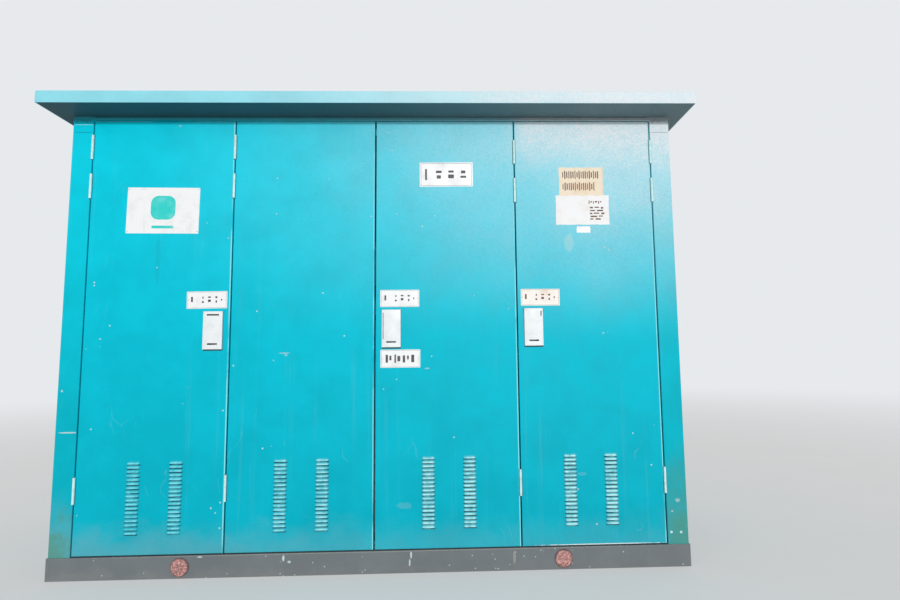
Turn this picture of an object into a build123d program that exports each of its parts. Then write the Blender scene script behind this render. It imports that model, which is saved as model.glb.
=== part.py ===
"""Roadside utility cabinet: a walk-up switching cabinet with four doors on a channel base.

Millimetres. X runs to the right, Y away from the doors, Z up. The origin is on the ground,
under the middle of the body, so the doors' face is at the negative Y side.
"""

from build123d import *
from math import cos, radians, sin
import os

os.makedirs("parts", exist_ok=True)

# Body
body_width = 2950.0
body_depth = 1300.0
base_height = 100.0
door_top = 2161.0
soffit_height = 2183.0
post_width = 101.0
cap_joint_height = 2104.0

# Sheet thicknesses
frame_sheet = 3.0
skin_sheet = 2.0
partition_sheet = 2.0
fold_radius = 1.5

# Base
base_proud = 4.0
channel_flange = 48.0
channel_web = 5.3
channel_flange_thickness = 8.5
channel_root_radius = 8.5
channel_tip_radius = 4.5
anchor_spacing_x = 2500.0
anchor_edge = 28.0
anchor_radius = 9.0

# Roof
fascia_height = 58.0
front_overhang = 160.0
side_overhang = 73.0
roof_rise = 60.0
ridge_length = 1700.0
ridge_width = 120.0
soffit_sheet = 2.0

# Doors
seam_gap = 6.0
middle_gap = 8.0
door_sill_gap = 5.0
door_thickness = 40.0
door_lip = 18.0
door_to_stop = 3.0
stop_width = 30.0
rail_reveal = 17.0
rail_top_flange = 20.0

# Mullions, floor and walls
mullion_width = 80.0
mullion_depth = 50.0
sill_height = 30.0
floor_thickness = 3.0
trench_width = 240.0
wall_fold = 30.0

# Door stiffeners
stiffener_heights = (720.0, 1560.0)
stiffener_flange = 15.0
stiffener_web = 40.0
stiffener_depth = 18.0

# Louvres
louvre_width = 57.0
louvre_height = 11.0
louvre_reach = 6.0
louvre_pitch = 18.4
louvre_count = 18
louvre_wall = 1.5
louvre_top = 522.0
louvre_spacing = 194.0

# Hinges
hinge_radius = 6.0
hinge_pin_radius = 3.0
hinge_running_clearance = 0.04
hinge_end_wall = 6.0
hinge_pin_play = 3.3
knuckle_length = 60.0
knuckle_gap = 0.3
hinge_forward = 3.0
leaf_thickness = 2.5
seam_leaf_offset = 0.5
hinge_notch = 5.0
hinge_notch_depth = 4.0
hinge_notch_margin = 2.0
bottom_hinge_rise = 291.0
hinge_pair_pitch = 195.0

# Locks
lock_inset = 75.0
lock_height = 1128.0
cover_width = 90.0
cover_height = 181.0
cover_depth = 10.0
cover_wall = 1.5
cover_slot_width = 46.0
cover_slot_height = 8.0
cover_slot_rise = 25.0
case_plate_width = 84.0
case_plate_thickness = 1.5
tub_width = 62.0
tub_height = 150.0
tub_depth = 25.0
tub_wall = 1.5
tub_floor = 2.5
tub_corner = 5.0
wing_length = 44.0
wing_width = 12.0
wing_height = 10.0
boss_radius = 14.0
boss_height = 7.0
ear_thickness = 3.0
cover_pin_radius = 2.0
side_clearance = 0.4
spindle_radius = 6.0
running_clearance = 0.05
crank_radius = 15.0
crank_pin_radius = 3.0
crank_half_sweep = 45.0
cam_thickness = 4.0
cam_width = 10.2
cam_gap = 1.0
rod_width = 20.0
rod_thickness = 4.0
rod_slot_play = 0.8
rod_guide_play = 1.0
rod_end_inset = 1.0

# Lifting pins
lifting_pin_x = 880.0
lifting_pin_radius = 38.0
lifting_pin_length = 200.0
lifting_pin_head_radius = 41.0
lifting_pin_head = 6.0
lifting_pin_chamfer = 2.0
sleeve_radius = 41.0
sleeve_length = 170.0

# Switch units
unit_width = 360.0
unit_depth = 780.0
unit_height = 1500.0
unit_pitch = 400.0
unit_front_y = -380.0
unit_sheet = 3.0
unit_front_thickness = 12.0
unit_front_margin = 10.0
unit_front_chamfer = 5.0
unit_window_width = 136.0
unit_window_height = 68.0
unit_window_corner = 10.0
unit_window_rise = 136.0
cable_cover_height = 675.0
cover_seam_width = 5.0
cover_seam_depth = 6.0
unit_knob_drop = 403.0
unit_knob_radius = 34.0
unit_knob_depth = 22.0
unit_grip_width = 17.0
unit_grip_length = 61.0
unit_spindle_radius = 8.0

# Board, control box and earthing bar
board_width = 500.0
board_depth = 260.0
board_height = 1500.0
board_centre_x = 1060.0
board_front_y = 300.0
breaker_width = 140.0
breaker_height = 180.0
breaker_depth = 60.0
breaker_drop = 253.0
toggle_radius = 9.0
toggle_reach = 26.0
toggle_width = 24.0
toggle_bar_radius = 3.0
toggle_tilt = 25.0
toggle_well_margin = 1.6
control_width = 200.0
control_depth = 400.0
control_height = 500.0
control_bottom = 1100.0
control_corner = 10.0
earth_length = 700.0
earth_height = 40.0
earth_thickness = 6.0
earth_standoff = 30.0
earth_standoff_radius = 10.0
earth_standoff_inset = 22.0
earth_bottom = 260.0
earth_hole_radius = 5.0
earth_hole_pitch = 87.5
earth_hole_count = 7

# Door gaskets
gasket_width = 12.0
gasket_gap = 0.3

# Places worked out from the sizes above
half_width = body_width / 2
half_depth = body_depth / 2
front_y = -half_depth
door_pitch = (body_width - 2 * post_width) / 4
door_bottom = base_height + door_sill_gap
stop_y = front_y + door_thickness + door_to_stop
stop_back_y = stop_y + frame_sheet
hinge_y = front_y - hinge_forward
seams = [door_pitch * (number - 2) for number in range(5)]
seam_halves = [seam_gap / 2, seam_gap / 2, middle_gap / 2, seam_gap / 2, seam_gap / 2]
rail_bottom = soffit_height - rail_reveal
outer_x = half_width + base_proud
outer_y = half_depth + base_proud
partition_x = door_pitch
inner_post_x = half_width - post_width + seam_gap / 2
wall_edge_y = half_depth - post_width
crank_offset = crank_radius * (1 + cos(radians(crank_half_sweep))) / 2
cam_y = front_y + tub_depth + cam_gap
rod_y = cam_y + cam_thickness + cam_gap
hinge_top_rises = {"left": 1923.0, "right": 1896.0}
unit_bottom = base_height + floor_thickness
unit_knob_height = unit_bottom + unit_height - unit_knob_drop
board_bottom = base_height + floor_thickness
breaker_centre_height = board_bottom + board_height - breaker_drop

# Each door: where its hinge is, whether it has a lock, and how far its louvres sit off centre
doors = {
    1: {"hinge": "left", "lock": True, "louvre_shift": 18.0},
    2: {"hinge": "left", "lock": False, "louvre_shift": 5.0},
    3: {"hinge": "right", "lock": True, "louvre_shift": 6.0},
    4: {"hinge": "right", "lock": True, "louvre_shift": -10.0},
}


def save(piece, name):
    """Labels a finished piece and writes it."""
    piece.label = name
    export_step(piece, f"parts/{name}.step")


def folded(points, thickness, side):
    """The section of a sheet folded along a line, with the same inner radius at every fold."""
    radii = []
    for before, corner, after in zip(points, points[1:], points[2:]):
        coming = Vector(*corner) - Vector(*before)
        going = Vector(*after) - Vector(*corner)
        turns_left = coming.cross(going).Z > 0
        if turns_left == (side == Side.LEFT):
            radii.append(fold_radius + thickness)
        else:
            radii.append(fold_radius)
    with BuildSketch() as section:
        with BuildLine():
            FilletPolyline(*points, radius=radii)
            offset(amount=thickness, side=side)
        make_face()
    return section.sketch


def tray(face, width, height, depth):
    """A skin folded back on four sides, its outer face centred on a plane whose normal points in."""
    inward = Axis(face.origin, face.z_dir)
    with BuildPart() as panel:
        with BuildSketch(face):
            Rectangle(width, height)
        extrude(amount=depth)
        fillet(panel.faces().sort_by(inward)[0].edges(), radius=fold_radius + skin_sheet)
        offset(amount=-skin_sheet, openings=panel.faces().sort_by(inward)[-1])
    return panel.part


def door_edges(number):
    """The left and right edge of a door."""
    left = seams[number - 1] + seam_halves[number - 1]
    right = seams[number] - seam_halves[number]
    return left, right


def hinge_side(number):
    """The X of a door's hinge axis, and the direction from it into the door."""
    if doors[number]["hinge"] == "left":
        return seams[number - 1], 1
    return seams[number], -1


def hinge_bottoms(number):
    """The heights at which the three hinges of a door start."""
    top_rise = hinge_top_rises[doors[number]["hinge"]]
    middles = (bottom_hinge_rise, top_rise - hinge_pair_pitch, top_rise)
    return [door_bottom + middle - knuckle_length for middle in middles]


def lock_centre(number):
    """The X of a door's lock, on the side away from the hinge."""
    left, right = door_edges(number)
    if doors[number]["hinge"] == "left":
        return right - lock_inset
    return left + lock_inset


# Base channels


def channel_section():
    """Rolled channel lying with its web upright, its web's outer face on the Y axis of the sketch."""
    with BuildSketch() as section:
        with BuildLine():
            hollow_line = FilletPolyline(
                (channel_flange, 0),
                (channel_flange, channel_flange_thickness),
                (channel_web, channel_flange_thickness),
                (channel_web, base_height - channel_flange_thickness),
                (channel_flange, base_height - channel_flange_thickness),
                (channel_flange, base_height),
                radius=(channel_tip_radius, channel_root_radius, channel_root_radius, channel_tip_radius),
            )
            Polyline(hollow_line @ 1, (0, base_height), (0, 0), hollow_line @ 0)
        make_face()
    return section.sketch


with BuildPart() as base_front_channel:
    with BuildSketch(Plane.YZ.offset(-outer_x)):
        with Locations((-outer_y, 0)):
            add(channel_section())
    extrude(amount=2 * outer_x)
    # The ends are mitred to meet the side channels
    for end in (-1, 1):
        split(
            bisect_by=Plane(origin=(end * outer_x, -outer_y, 0), z_dir=(-end, -1, 0)),
            keep=Keep.TOP,
        )
    # Holes for the lifting pins
    with BuildSketch(Plane.XZ.offset(outer_y)):
        with Locations((-lifting_pin_x, base_height / 2), (lifting_pin_x, base_height / 2)):
            Circle(lifting_pin_radius + running_clearance)
    extrude(amount=-channel_web, mode=Mode.SUBTRACT)
    # Seats bored in the root fillets for the ends of the pins' sleeves
    with BuildSketch(Plane.XZ.offset(outer_y - channel_web)):
        with Locations((-lifting_pin_x, base_height / 2), (lifting_pin_x, base_height / 2)):
            Circle(sleeve_radius + side_clearance)
    extrude(amount=-channel_root_radius, mode=Mode.SUBTRACT)
    # Anchor holes in the lower flange
    with BuildSketch(Plane.XY):
        with Locations((0, -outer_y + anchor_edge)):
            with GridLocations(anchor_spacing_x, 1, 2, 1):
                Circle(anchor_radius)
    extrude(amount=channel_flange_thickness, mode=Mode.SUBTRACT)
    base_without_rod_slots = base_front_channel.part
    # Slots in the upper flange that take the lower latch rods
    with BuildSketch(Plane.XY.offset(base_height)):
        for number, door in doors.items():
            if door["lock"]:
                with Locations((lock_centre(number) - crank_offset, rod_y + rod_thickness / 2)):
                    Rectangle(rod_width + 2 * rod_guide_play, rod_thickness + 2 * rod_guide_play)
    extrude(amount=-channel_flange_thickness, mode=Mode.SUBTRACT)

save(base_front_channel.part, "base_front_channel")

with BuildPart() as base_rear_channel:
    add(mirror(base_without_rod_slots, about=Plane.XZ, mode=Mode.PRIVATE))

save(base_rear_channel.part, "base_rear_channel")

with BuildPart() as base_side_channels:
    with BuildSketch(Plane.XZ.offset(-outer_y)):
        with Locations((-outer_x, 0)):
            add(channel_section())
    extrude(amount=2 * outer_y)
    for end in (-1, 1):
        split(
            bisect_by=Plane(origin=(-outer_x, end * outer_y, 0), z_dir=(-1, -end, 0)),
            keep=Keep.TOP,
        )
    mirror(about=Plane.YZ)

save(base_side_channels.part, "base_side_channels")

with BuildPart() as base_cross_channels:
    for x in (-partition_x, partition_x):
        with BuildSketch(Plane.XZ.offset(-outer_y + channel_flange)):
            with Locations((x - channel_flange / 2, 0)):
                add(channel_section())
        extrude(amount=2 * (outer_y - channel_flange))

save(base_cross_channels.part, "base_cross_channels")

# Lifting pins and the sleeves that carry them

with BuildPart() as front_sleeves:
    with BuildSketch(Plane.XZ.offset(outer_y - channel_web)):
        with Locations((-lifting_pin_x, base_height / 2), (lifting_pin_x, base_height / 2)):
            Circle(sleeve_radius)
            Circle(lifting_pin_radius + running_clearance, mode=Mode.SUBTRACT)
    extrude(amount=-sleeve_length)

with BuildPart() as lifting_pin_sleeves:
    add(front_sleeves.part)
    mirror(about=Plane.XZ)

save(lifting_pin_sleeves.part, "lifting_pin_sleeves")


def lifting_pin(x, end):
    """A round bar with a wider head outside the web; end is -1 at the front and 1 at the rear."""
    with BuildPart() as pin:
        with BuildSketch(Plane.XZ.offset(outer_y + side_clearance)):
            with Locations((x, base_height / 2)):
                Circle(lifting_pin_radius)
        extrude(amount=-lifting_pin_length)
        with BuildSketch(Plane.XZ.offset(outer_y + side_clearance)):
            with Locations((x, base_height / 2)):
                Circle(lifting_pin_head_radius)
        extrude(amount=lifting_pin_head)
        chamfer(pin.faces().sort_by(Axis.Y)[0].edges(), length=lifting_pin_chamfer)
        if end > 0:
            mirror(about=Plane.XZ, mode=Mode.REPLACE)
    return pin.part


for row, end in (("front", -1), ("rear", 1)):
    for hand, x in (("left", -lifting_pin_x), ("right", lifting_pin_x)):
        save(lifting_pin(x, end), f"lifting_pin_{row}_{hand}")

# Floor plates, on each side of the open cable trench

floor_bays = (
    (-half_width + wall_fold + seam_gap, -partition_x - partition_sheet / 2 - seam_gap / 2),
    (-partition_x + partition_sheet / 2 + seam_gap / 2, partition_x - partition_sheet / 2 - seam_gap / 2),
    (partition_x + partition_sheet / 2 + seam_gap / 2, half_width - wall_fold - seam_gap),
)
floor_edge_y = -stop_back_y - sill_height

with BuildPart() as floor_plates:
    with BuildSketch(Plane.XY.offset(base_height)):
        for low_x, high_x in floor_bays:
            for side in (-1, 1):
                with Locations(((low_x + high_x) / 2, side * (floor_edge_y + trench_width / 2) / 2)):
                    Rectangle(high_x - low_x, floor_edge_y - trench_width / 2)
        # Room for the mullions at the front and rear
        with GridLocations(2 * partition_x, 2 * (-stop_y - mullion_depth / 2), 2, 2):
            Rectangle(mullion_width + seam_gap, mullion_depth + seam_gap, mode=Mode.SUBTRACT)
    extrude(amount=floor_thickness)

save(floor_plates.part, "floor_plates")

# Door sills: an angle behind the foot of the doors in each bay, and the same at the rear

sill_bays = (
    (-inner_post_x + stop_width, -partition_x - mullion_width / 2),
    (-partition_x + mullion_width / 2, partition_x - mullion_width / 2),
    (partition_x + mullion_width / 2, inner_post_x - stop_width),
)

with BuildPart() as door_sills:
    for low_x, high_x in sill_bays:
        with BuildSketch(Plane.YZ.offset(low_x)):
            sill_line = (
                (stop_y, base_height + sill_height),
                (stop_y, base_height),
                (stop_y + sill_height, base_height),
            )
            add(folded(sill_line, frame_sheet, Side.LEFT))
        extrude(amount=high_x - low_x)
    mirror(about=Plane.XZ)

save(door_sills.part, "door_sills")

# Corner posts and caps


def post_section(with_stop):
    """Section of the front left corner post, seen from above."""
    corner_line = [
        (-inner_post_x, stop_y),
        (-inner_post_x, front_y),
        (-half_width, front_y),
        (-half_width, -wall_edge_y),
        (-half_width + wall_fold, -wall_edge_y),
    ]
    if with_stop:
        corner_line.insert(0, (-inner_post_x + stop_width, stop_y))
    return folded(corner_line, frame_sheet, Side.RIGHT)


def cut_frame_notches(post, number):
    """Cuts the corner of a post's edge where a door's knuckles stand in the seam."""
    axis_x, inward = hinge_side(number)
    edge_x = axis_x - inward * seam_gap / 2
    with BuildPart() as notched:
        add(post)
        for bottom in hinge_bottoms(number):
            with BuildSketch(Plane.XZ.offset(half_depth)):
                with Locations((edge_x, bottom + knuckle_length)):
                    Rectangle(2 * hinge_notch, 2 * (knuckle_length + hinge_notch_margin))
            extrude(amount=-hinge_notch_depth, mode=Mode.SUBTRACT)
    return notched.part


with BuildPart() as plain_post:
    with BuildSketch(Plane.XY.offset(base_height)):
        add(post_section(with_stop=True))
    extrude(amount=cap_joint_height - base_height)

front_left_post = cut_frame_notches(plain_post.part, 1)
front_right_post = cut_frame_notches(mirror(plain_post.part, about=Plane.YZ), 4)

with BuildPart() as corner_posts:
    add(front_left_post)
    add(front_right_post)
    add(mirror(plain_post.part, about=Plane.XZ, mode=Mode.PRIVATE))
    add(mirror(plain_post.part, about=Plane.XZ, mode=Mode.PRIVATE).mirror(Plane.YZ))

save(corner_posts.part, "corner_posts")

# Top rails above the doors and the rear panels, between the corner caps

with BuildPart() as front_rail:
    with BuildSketch(Plane.YZ.offset(-inner_post_x)):
        rail_line = (
            (front_y + rail_top_flange, soffit_height),
            (front_y, soffit_height),
            (front_y, rail_bottom),
            (stop_y, rail_bottom),
            (stop_y, cap_joint_height),
        )
        add(folded(rail_line, frame_sheet, Side.LEFT))
    extrude(amount=2 * inner_post_x)

with BuildPart() as slotted_rail:
    add(front_rail.part)
    # Slots that take the upper latch rods
    with BuildSketch(Plane.XY.offset(rail_bottom)):
        for number, door in doors.items():
            if door["lock"]:
                with Locations((lock_centre(number) + crank_offset, rod_y + rod_thickness / 2)):
                    Rectangle(rod_width + 2 * rod_guide_play, rod_thickness + 2 * rod_guide_play)
    extrude(amount=frame_sheet, mode=Mode.SUBTRACT)

with BuildPart() as top_rails:
    add(slotted_rail.part)
    add(mirror(front_rail.part, about=Plane.XZ, mode=Mode.PRIVATE))

save(top_rails.part, "top_rails")

with BuildPart() as corner_caps:
    with BuildSketch(Plane.XY.offset(cap_joint_height)):
        add(post_section(with_stop=False))
    extrude(amount=soffit_height - cap_joint_height)
    mirror(about=Plane.YZ)
    mirror(about=Plane.XZ)

save(corner_caps.part, "corner_caps")

# Mullions behind the seams beside the middle bay

with BuildPart() as mullion_posts:
    with BuildSketch(Plane.XY.offset(base_height)):
        for x in (-partition_x, partition_x):
            mullion_line = (
                (x - mullion_width / 2, stop_y + mullion_depth),
                (x - mullion_width / 2, stop_y),
                (x + mullion_width / 2, stop_y),
                (x + mullion_width / 2, stop_y + mullion_depth),
            )
            add(folded(mullion_line, frame_sheet, Side.LEFT))
    extrude(amount=cap_joint_height - base_height)
    mirror(about=Plane.XZ)

save(mullion_posts.part, "mullion_posts")

# Partitions, side walls and rear panels

with BuildPart() as partitions:
    with BuildSketch(Plane.XY.offset(base_height)):
        with GridLocations(2 * partition_x, 1, 2, 1):
            Rectangle(partition_sheet, -2 * stop_back_y)
    extrude(amount=soffit_height - base_height)

save(partitions.part, "partitions")

wall_middle = (base_height + soffit_height) / 2
wall_face = Plane(origin=(-half_width, 0, wall_middle), x_dir=(0, 1, 0), z_dir=(1, 0, 0))

with BuildPart() as side_walls:
    add(tray(wall_face, 2 * wall_edge_y, soffit_height - base_height, wall_fold))
    mirror(about=Plane.YZ)

save(side_walls.part, "side_walls")

rear_bays = (
    (-inner_post_x + seam_gap / 2, -partition_x - seam_gap / 2),
    (-partition_x + seam_gap / 2, partition_x - seam_gap / 2),
    (partition_x + seam_gap / 2, inner_post_x - seam_gap / 2),
)

with BuildPart() as rear_panels:
    rear_middle = (door_bottom + door_top) / 2
    for low_x, high_x in rear_bays:
        rear_centre = ((low_x + high_x) / 2, half_depth, rear_middle)
        rear_face = Plane(origin=rear_centre, x_dir=(1, 0, 0), z_dir=(0, -1, 0))
        add(tray(rear_face, high_x - low_x, door_top - door_bottom, door_thickness + door_to_stop))

save(rear_panels.part, "rear_panels")

# Roof cap: a shallow hipped sheet with a deep fascia, and the flat soffit under it

roof_width = body_width + 2 * side_overhang
roof_depth = body_depth + 2 * front_overhang
fascia_top = soffit_height + fascia_height


def roof_outline(eaves_length, top_length, inset):
    """The roof seen from one side: upright fascia, then a slope up to the flat of the ridge."""
    with BuildSketch() as outline:
        with BuildLine():
            Polyline(
                (-eaves_length / 2 + inset, soffit_height),
                (-eaves_length / 2 + inset, fascia_top - inset),
                (-top_length / 2, fascia_top + roof_rise - inset),
                (top_length / 2, fascia_top + roof_rise - inset),
                (eaves_length / 2 - inset, fascia_top - inset),
                (eaves_length / 2 - inset, soffit_height),
                close=True,
            )
        make_face()
    return outline.sketch


def roof_body(inset):
    """The roof's outer form, drawn in on every side by the sheet's thickness."""
    with BuildPart() as body:
        with BuildSketch(Plane.XZ):
            add(roof_outline(roof_width, ridge_length, inset))
        extrude(amount=roof_depth / 2, both=True)
        with BuildSketch(Plane.YZ):
            add(roof_outline(roof_depth, ridge_width, inset))
        extrude(amount=roof_width / 2, both=True, mode=Mode.INTERSECT)
        eaves_height = fascia_top - inset
        eaves = body.edges().filter_by_position(Axis.Z, eaves_height, eaves_height)
        fillet(eaves, radius=fold_radius + frame_sheet - inset)
    return body.part


with BuildPart() as roof_cap:
    add(roof_body(0))
    add(roof_body(frame_sheet), mode=Mode.SUBTRACT)

save(roof_cap.part, "roof_cap")

with BuildPart() as roof_soffit:
    with BuildSketch(Plane.XY.offset(soffit_height)):
        Rectangle(roof_width - 2 * frame_sheet, roof_depth - 2 * frame_sheet)
    extrude(amount=soffit_sheet)

save(roof_soffit.part, "roof_soffit")

# Door gaskets: rubber strips on the stops, just behind the doors' lips

gasket_y = front_y + door_thickness + gasket_gap
gasket_depth = stop_y - gasket_y
gasket_ends = (door_bottom + gasket_width, cap_joint_height - gasket_width)
lip_middle = (skin_sheet + door_lip) / 2

with BuildPart() as door_gaskets:
    with BuildSketch(Plane.XZ.offset(-gasket_y)):
        upright_middle = sum(gasket_ends) / 2
        upright_length = gasket_ends[1] - gasket_ends[0]
        for x in (
            -inner_post_x + stop_width / 2,
            -partition_x - lip_middle - seam_gap,
            -partition_x + lip_middle + seam_gap,
            partition_x - lip_middle - seam_gap,
            partition_x + lip_middle + seam_gap,
            inner_post_x - stop_width / 2,
        ):
            with Locations((x, upright_middle)):
                Rectangle(gasket_width, upright_length)
        for low_x, high_x in sill_bays:
            with Locations(
                ((low_x + high_x) / 2, door_bottom + gasket_width / 2 + skin_sheet),
                ((low_x + high_x) / 2, door_top - lip_middle),
            ):
                Rectangle(high_x - low_x - gasket_width, gasket_width)
    extrude(amount=-gasket_depth)

save(door_gaskets.part, "door_gaskets")

# Hinges


def knuckle(axis_x, bottom, leaf_low_x, leaf_high_x, leaf_back_y, pin_from):
    """A barrel on the hinge axis with its leaf, bored for the pin from pin_from to the open end."""
    with BuildPart() as piece:
        with BuildSketch(Plane.XY.offset(bottom)):
            with Locations((axis_x, hinge_y)):
                Circle(hinge_radius)
            with BuildLine():
                leaf_front_y = hinge_y + hinge_radius - leaf_thickness / 2
                Polyline(
                    (leaf_low_x, leaf_front_y),
                    (leaf_high_x, leaf_front_y),
                    (leaf_high_x, leaf_back_y),
                    (leaf_low_x, leaf_back_y),
                    close=True,
                )
            make_face()
        extrude(amount=knuckle_length)
        with BuildSketch(Plane.XY.offset(pin_from)):
            with Locations((axis_x, hinge_y)):
                Circle(hinge_pin_radius + hinge_running_clearance)
        extrude(amount=knuckle_length - hinge_end_wall, mode=Mode.SUBTRACT)
    return piece.part


def frame_leaf(number):
    """Where the leaf of a frame knuckle stands: on the post, or on the mullion's face in the seam."""
    axis_x, inward = hinge_side(number)
    if number in (1, 4):
        edge = axis_x - inward * seam_gap / 2
        return edge, edge + inward * leaf_thickness, front_y + door_thickness
    near = axis_x - inward * seam_leaf_offset
    return near, near + inward * leaf_thickness, stop_y


def hinge_knuckles(number, on_frame):
    """The three knuckles of a door's hinges, either the frame's or the door's."""
    axis_x, inward = hinge_side(number)
    with BuildPart() as knuckles:
        for bottom in hinge_bottoms(number):
            if on_frame:
                near, far, back_y = frame_leaf(number)
                pin_from = bottom + hinge_end_wall
            else:
                far = axis_x + inward * seam_gap / 2
                near = far - inward * leaf_thickness
                back_y = front_y + door_thickness - door_to_stop
                bottom += knuckle_length + knuckle_gap
                pin_from = bottom
            add(knuckle(axis_x, bottom, min(near, far), max(near, far), back_y, pin_from))
    return knuckles.part


with BuildPart() as frame_hinge_leaves:
    for number in doors:
        add(hinge_knuckles(number, on_frame=True))

save(frame_hinge_leaves.part, "frame_hinge_leaves")

with BuildPart() as hinge_pins:
    bores_length = 2 * (knuckle_length - hinge_end_wall) + knuckle_gap
    for number in doors:
        axis_x, inward = hinge_side(number)
        for bottom in hinge_bottoms(number):
            with BuildSketch(Plane.XY.offset(bottom + hinge_end_wall)):
                with Locations((axis_x, hinge_y)):
                    Circle(hinge_pin_radius)
            extrude(amount=bores_length - hinge_pin_play)

save(hinge_pins.part, "hinge_pins")

for number in doors:
    save(hinge_knuckles(number, on_frame=False), f"door_{number}_hinge_knuckles")

# Door panels


def door_panel(number):
    """A door folded from one sheet as a shallow tray, with louvres stamped in its face."""
    left, right = door_edges(number)
    width = right - left
    height = door_top - door_bottom
    centre = ((left + right) / 2, (door_bottom + door_top) / 2)
    axis_x, inward = hinge_side(number)
    hinge_edge_x = axis_x + inward * seam_gap / 2
    free_edge_x = right if inward > 0 else left

    with BuildPart() as panel:
        with BuildSketch(Plane.XZ.offset(half_depth)):
            with Locations(centre):
                Rectangle(width, height)
        extrude(amount=-door_thickness)
        fillet(panel.faces().filter_by(Axis.Y).edges(), radius=fold_radius + skin_sheet)
        # The hollow behind the face, and the opening between the lips
        offset(amount=-skin_sheet, mode=Mode.SUBTRACT)
        with BuildSketch(Plane.XZ.offset(half_depth - door_thickness + skin_sheet)):
            with Locations(centre):
                Rectangle(width - 2 * (skin_sheet + door_lip), height - 2 * (skin_sheet + door_lip))
        extrude(amount=-skin_sheet, mode=Mode.SUBTRACT)

        # Corner notches beside the door's own knuckles
        with BuildSketch(Plane.XZ.offset(half_depth)):
            for bottom in hinge_bottoms(number):
                with Locations((hinge_edge_x, bottom + knuckle_length)):
                    Rectangle(2 * hinge_notch, 2 * (knuckle_length + hinge_notch_margin))
        extrude(amount=-hinge_notch_depth, mode=Mode.SUBTRACT)

        # Through notches where the free edge swings past the next door's knuckles
        if number in (1, 4):
            next_door = 2 if number == 1 else 3
            with BuildSketch(Plane.XZ.offset(half_depth)):
                for bottom in hinge_bottoms(next_door):
                    with Locations((free_edge_x, bottom + knuckle_length)):
                        Rectangle(2 * hinge_notch, 2 * (knuckle_length + hinge_notch_margin))
            extrude(amount=-door_thickness, mode=Mode.SUBTRACT)

        # Stamped louvres: the hoods first, then the throat under each hood
        row_middle = louvre_top - louvre_height - louvre_pitch * (louvre_count - 1) / 2
        louvre_slope = louvre_reach / louvre_height
        throat_drop = louvre_wall * (1 + louvre_slope**2) ** 0.5 / louvre_slope
        throat_reach = (louvre_height - throat_drop) * louvre_slope
        louvre_middle = centre[0] + doors[number]["louvre_shift"]
        for side in (-1, 1):
            column_x = louvre_middle + side * louvre_spacing / 2
            with BuildSketch(Plane.YZ.offset(column_x - louvre_width / 2)):
                with Locations((front_y, row_middle)):
                    with GridLocations(1, louvre_pitch, 1, louvre_count):
                        Polygon(
                            (0, louvre_height),
                            (-louvre_reach, 0),
                            (skin_sheet / 2, 0),
                            (skin_sheet / 2, louvre_height),
                            align=None,
                        )
            extrude(amount=louvre_width)
        for side in (-1, 1):
            column_x = louvre_middle + side * louvre_spacing / 2
            with BuildSketch(Plane.YZ.offset(column_x - louvre_width / 2 + louvre_wall)):
                with Locations((front_y, row_middle)):
                    with GridLocations(1, louvre_pitch, 1, louvre_count):
                        Polygon(
                            (0, louvre_height - throat_drop),
                            (-throat_reach, 0),
                            (2 * skin_sheet, 0),
                            (2 * skin_sheet, louvre_height - throat_drop),
                            align=None,
                        )
            extrude(amount=louvre_width - 2 * louvre_wall, mode=Mode.SUBTRACT)

        if doors[number]["lock"]:
            # Cut-out for the lock's case
            with BuildSketch(Plane.XZ.offset(half_depth)):
                with Locations((lock_centre(number), lock_height)):
                    RectangleRounded(
                        tub_width + 2 * side_clearance,
                        tub_height + 2 * side_clearance,
                        tub_corner + side_clearance,
                    )
            extrude(amount=-skin_sheet, mode=Mode.SUBTRACT)
            # Guide slots for the latch rods in the top and bottom folds
            for side, level in ((1, door_top), (-1, door_bottom + skin_sheet)):
                slot_x = lock_centre(number) + side * crank_offset
                with BuildSketch(Plane.XY.offset(level)):
                    with Locations((slot_x, rod_y + rod_thickness / 2)):
                        Rectangle(rod_width + 2 * rod_guide_play, rod_thickness + 2 * rod_guide_play)
                extrude(amount=-skin_sheet, mode=Mode.SUBTRACT)
    return panel.part


# Door stiffeners: two folded hat sections across the back of each door


def door_stiffeners(number):
    """Hat sections that run from one folded edge of the door to the other."""
    left, right = door_edges(number)
    inner_y = front_y + skin_sheet
    with BuildPart() as stiffeners:
        with BuildSketch(Plane.YZ.offset(left + skin_sheet + fold_radius)):
            for height in stiffener_heights:
                hat_line = (
                    (inner_y + skin_sheet, height - stiffener_web / 2 - stiffener_flange),
                    (inner_y + skin_sheet, height - stiffener_web / 2),
                    (inner_y + stiffener_depth, height - stiffener_web / 2),
                    (inner_y + stiffener_depth, height + stiffener_web / 2),
                    (inner_y + skin_sheet, height + stiffener_web / 2),
                    (inner_y + skin_sheet, height + stiffener_web / 2 + stiffener_flange),
                )
                add(folded(hat_line, skin_sheet, Side.LEFT))
        extrude(amount=right - left - 2 * (skin_sheet + fold_radius))
    return stiffeners.part


for number in doors:
    save(door_panel(number), f"door_{number}_panel")
    save(door_stiffeners(number), f"door_{number}_stiffeners")

# Locks

cover_bottom = lock_height - cover_height / 2
cover_pivot_z = lock_height + cover_height / 2 - cover_depth / 2
cover_front_y = front_y - case_plate_thickness - side_clearance - cover_depth
cover_pivot_y = cover_front_y + cover_depth / 2


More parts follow.
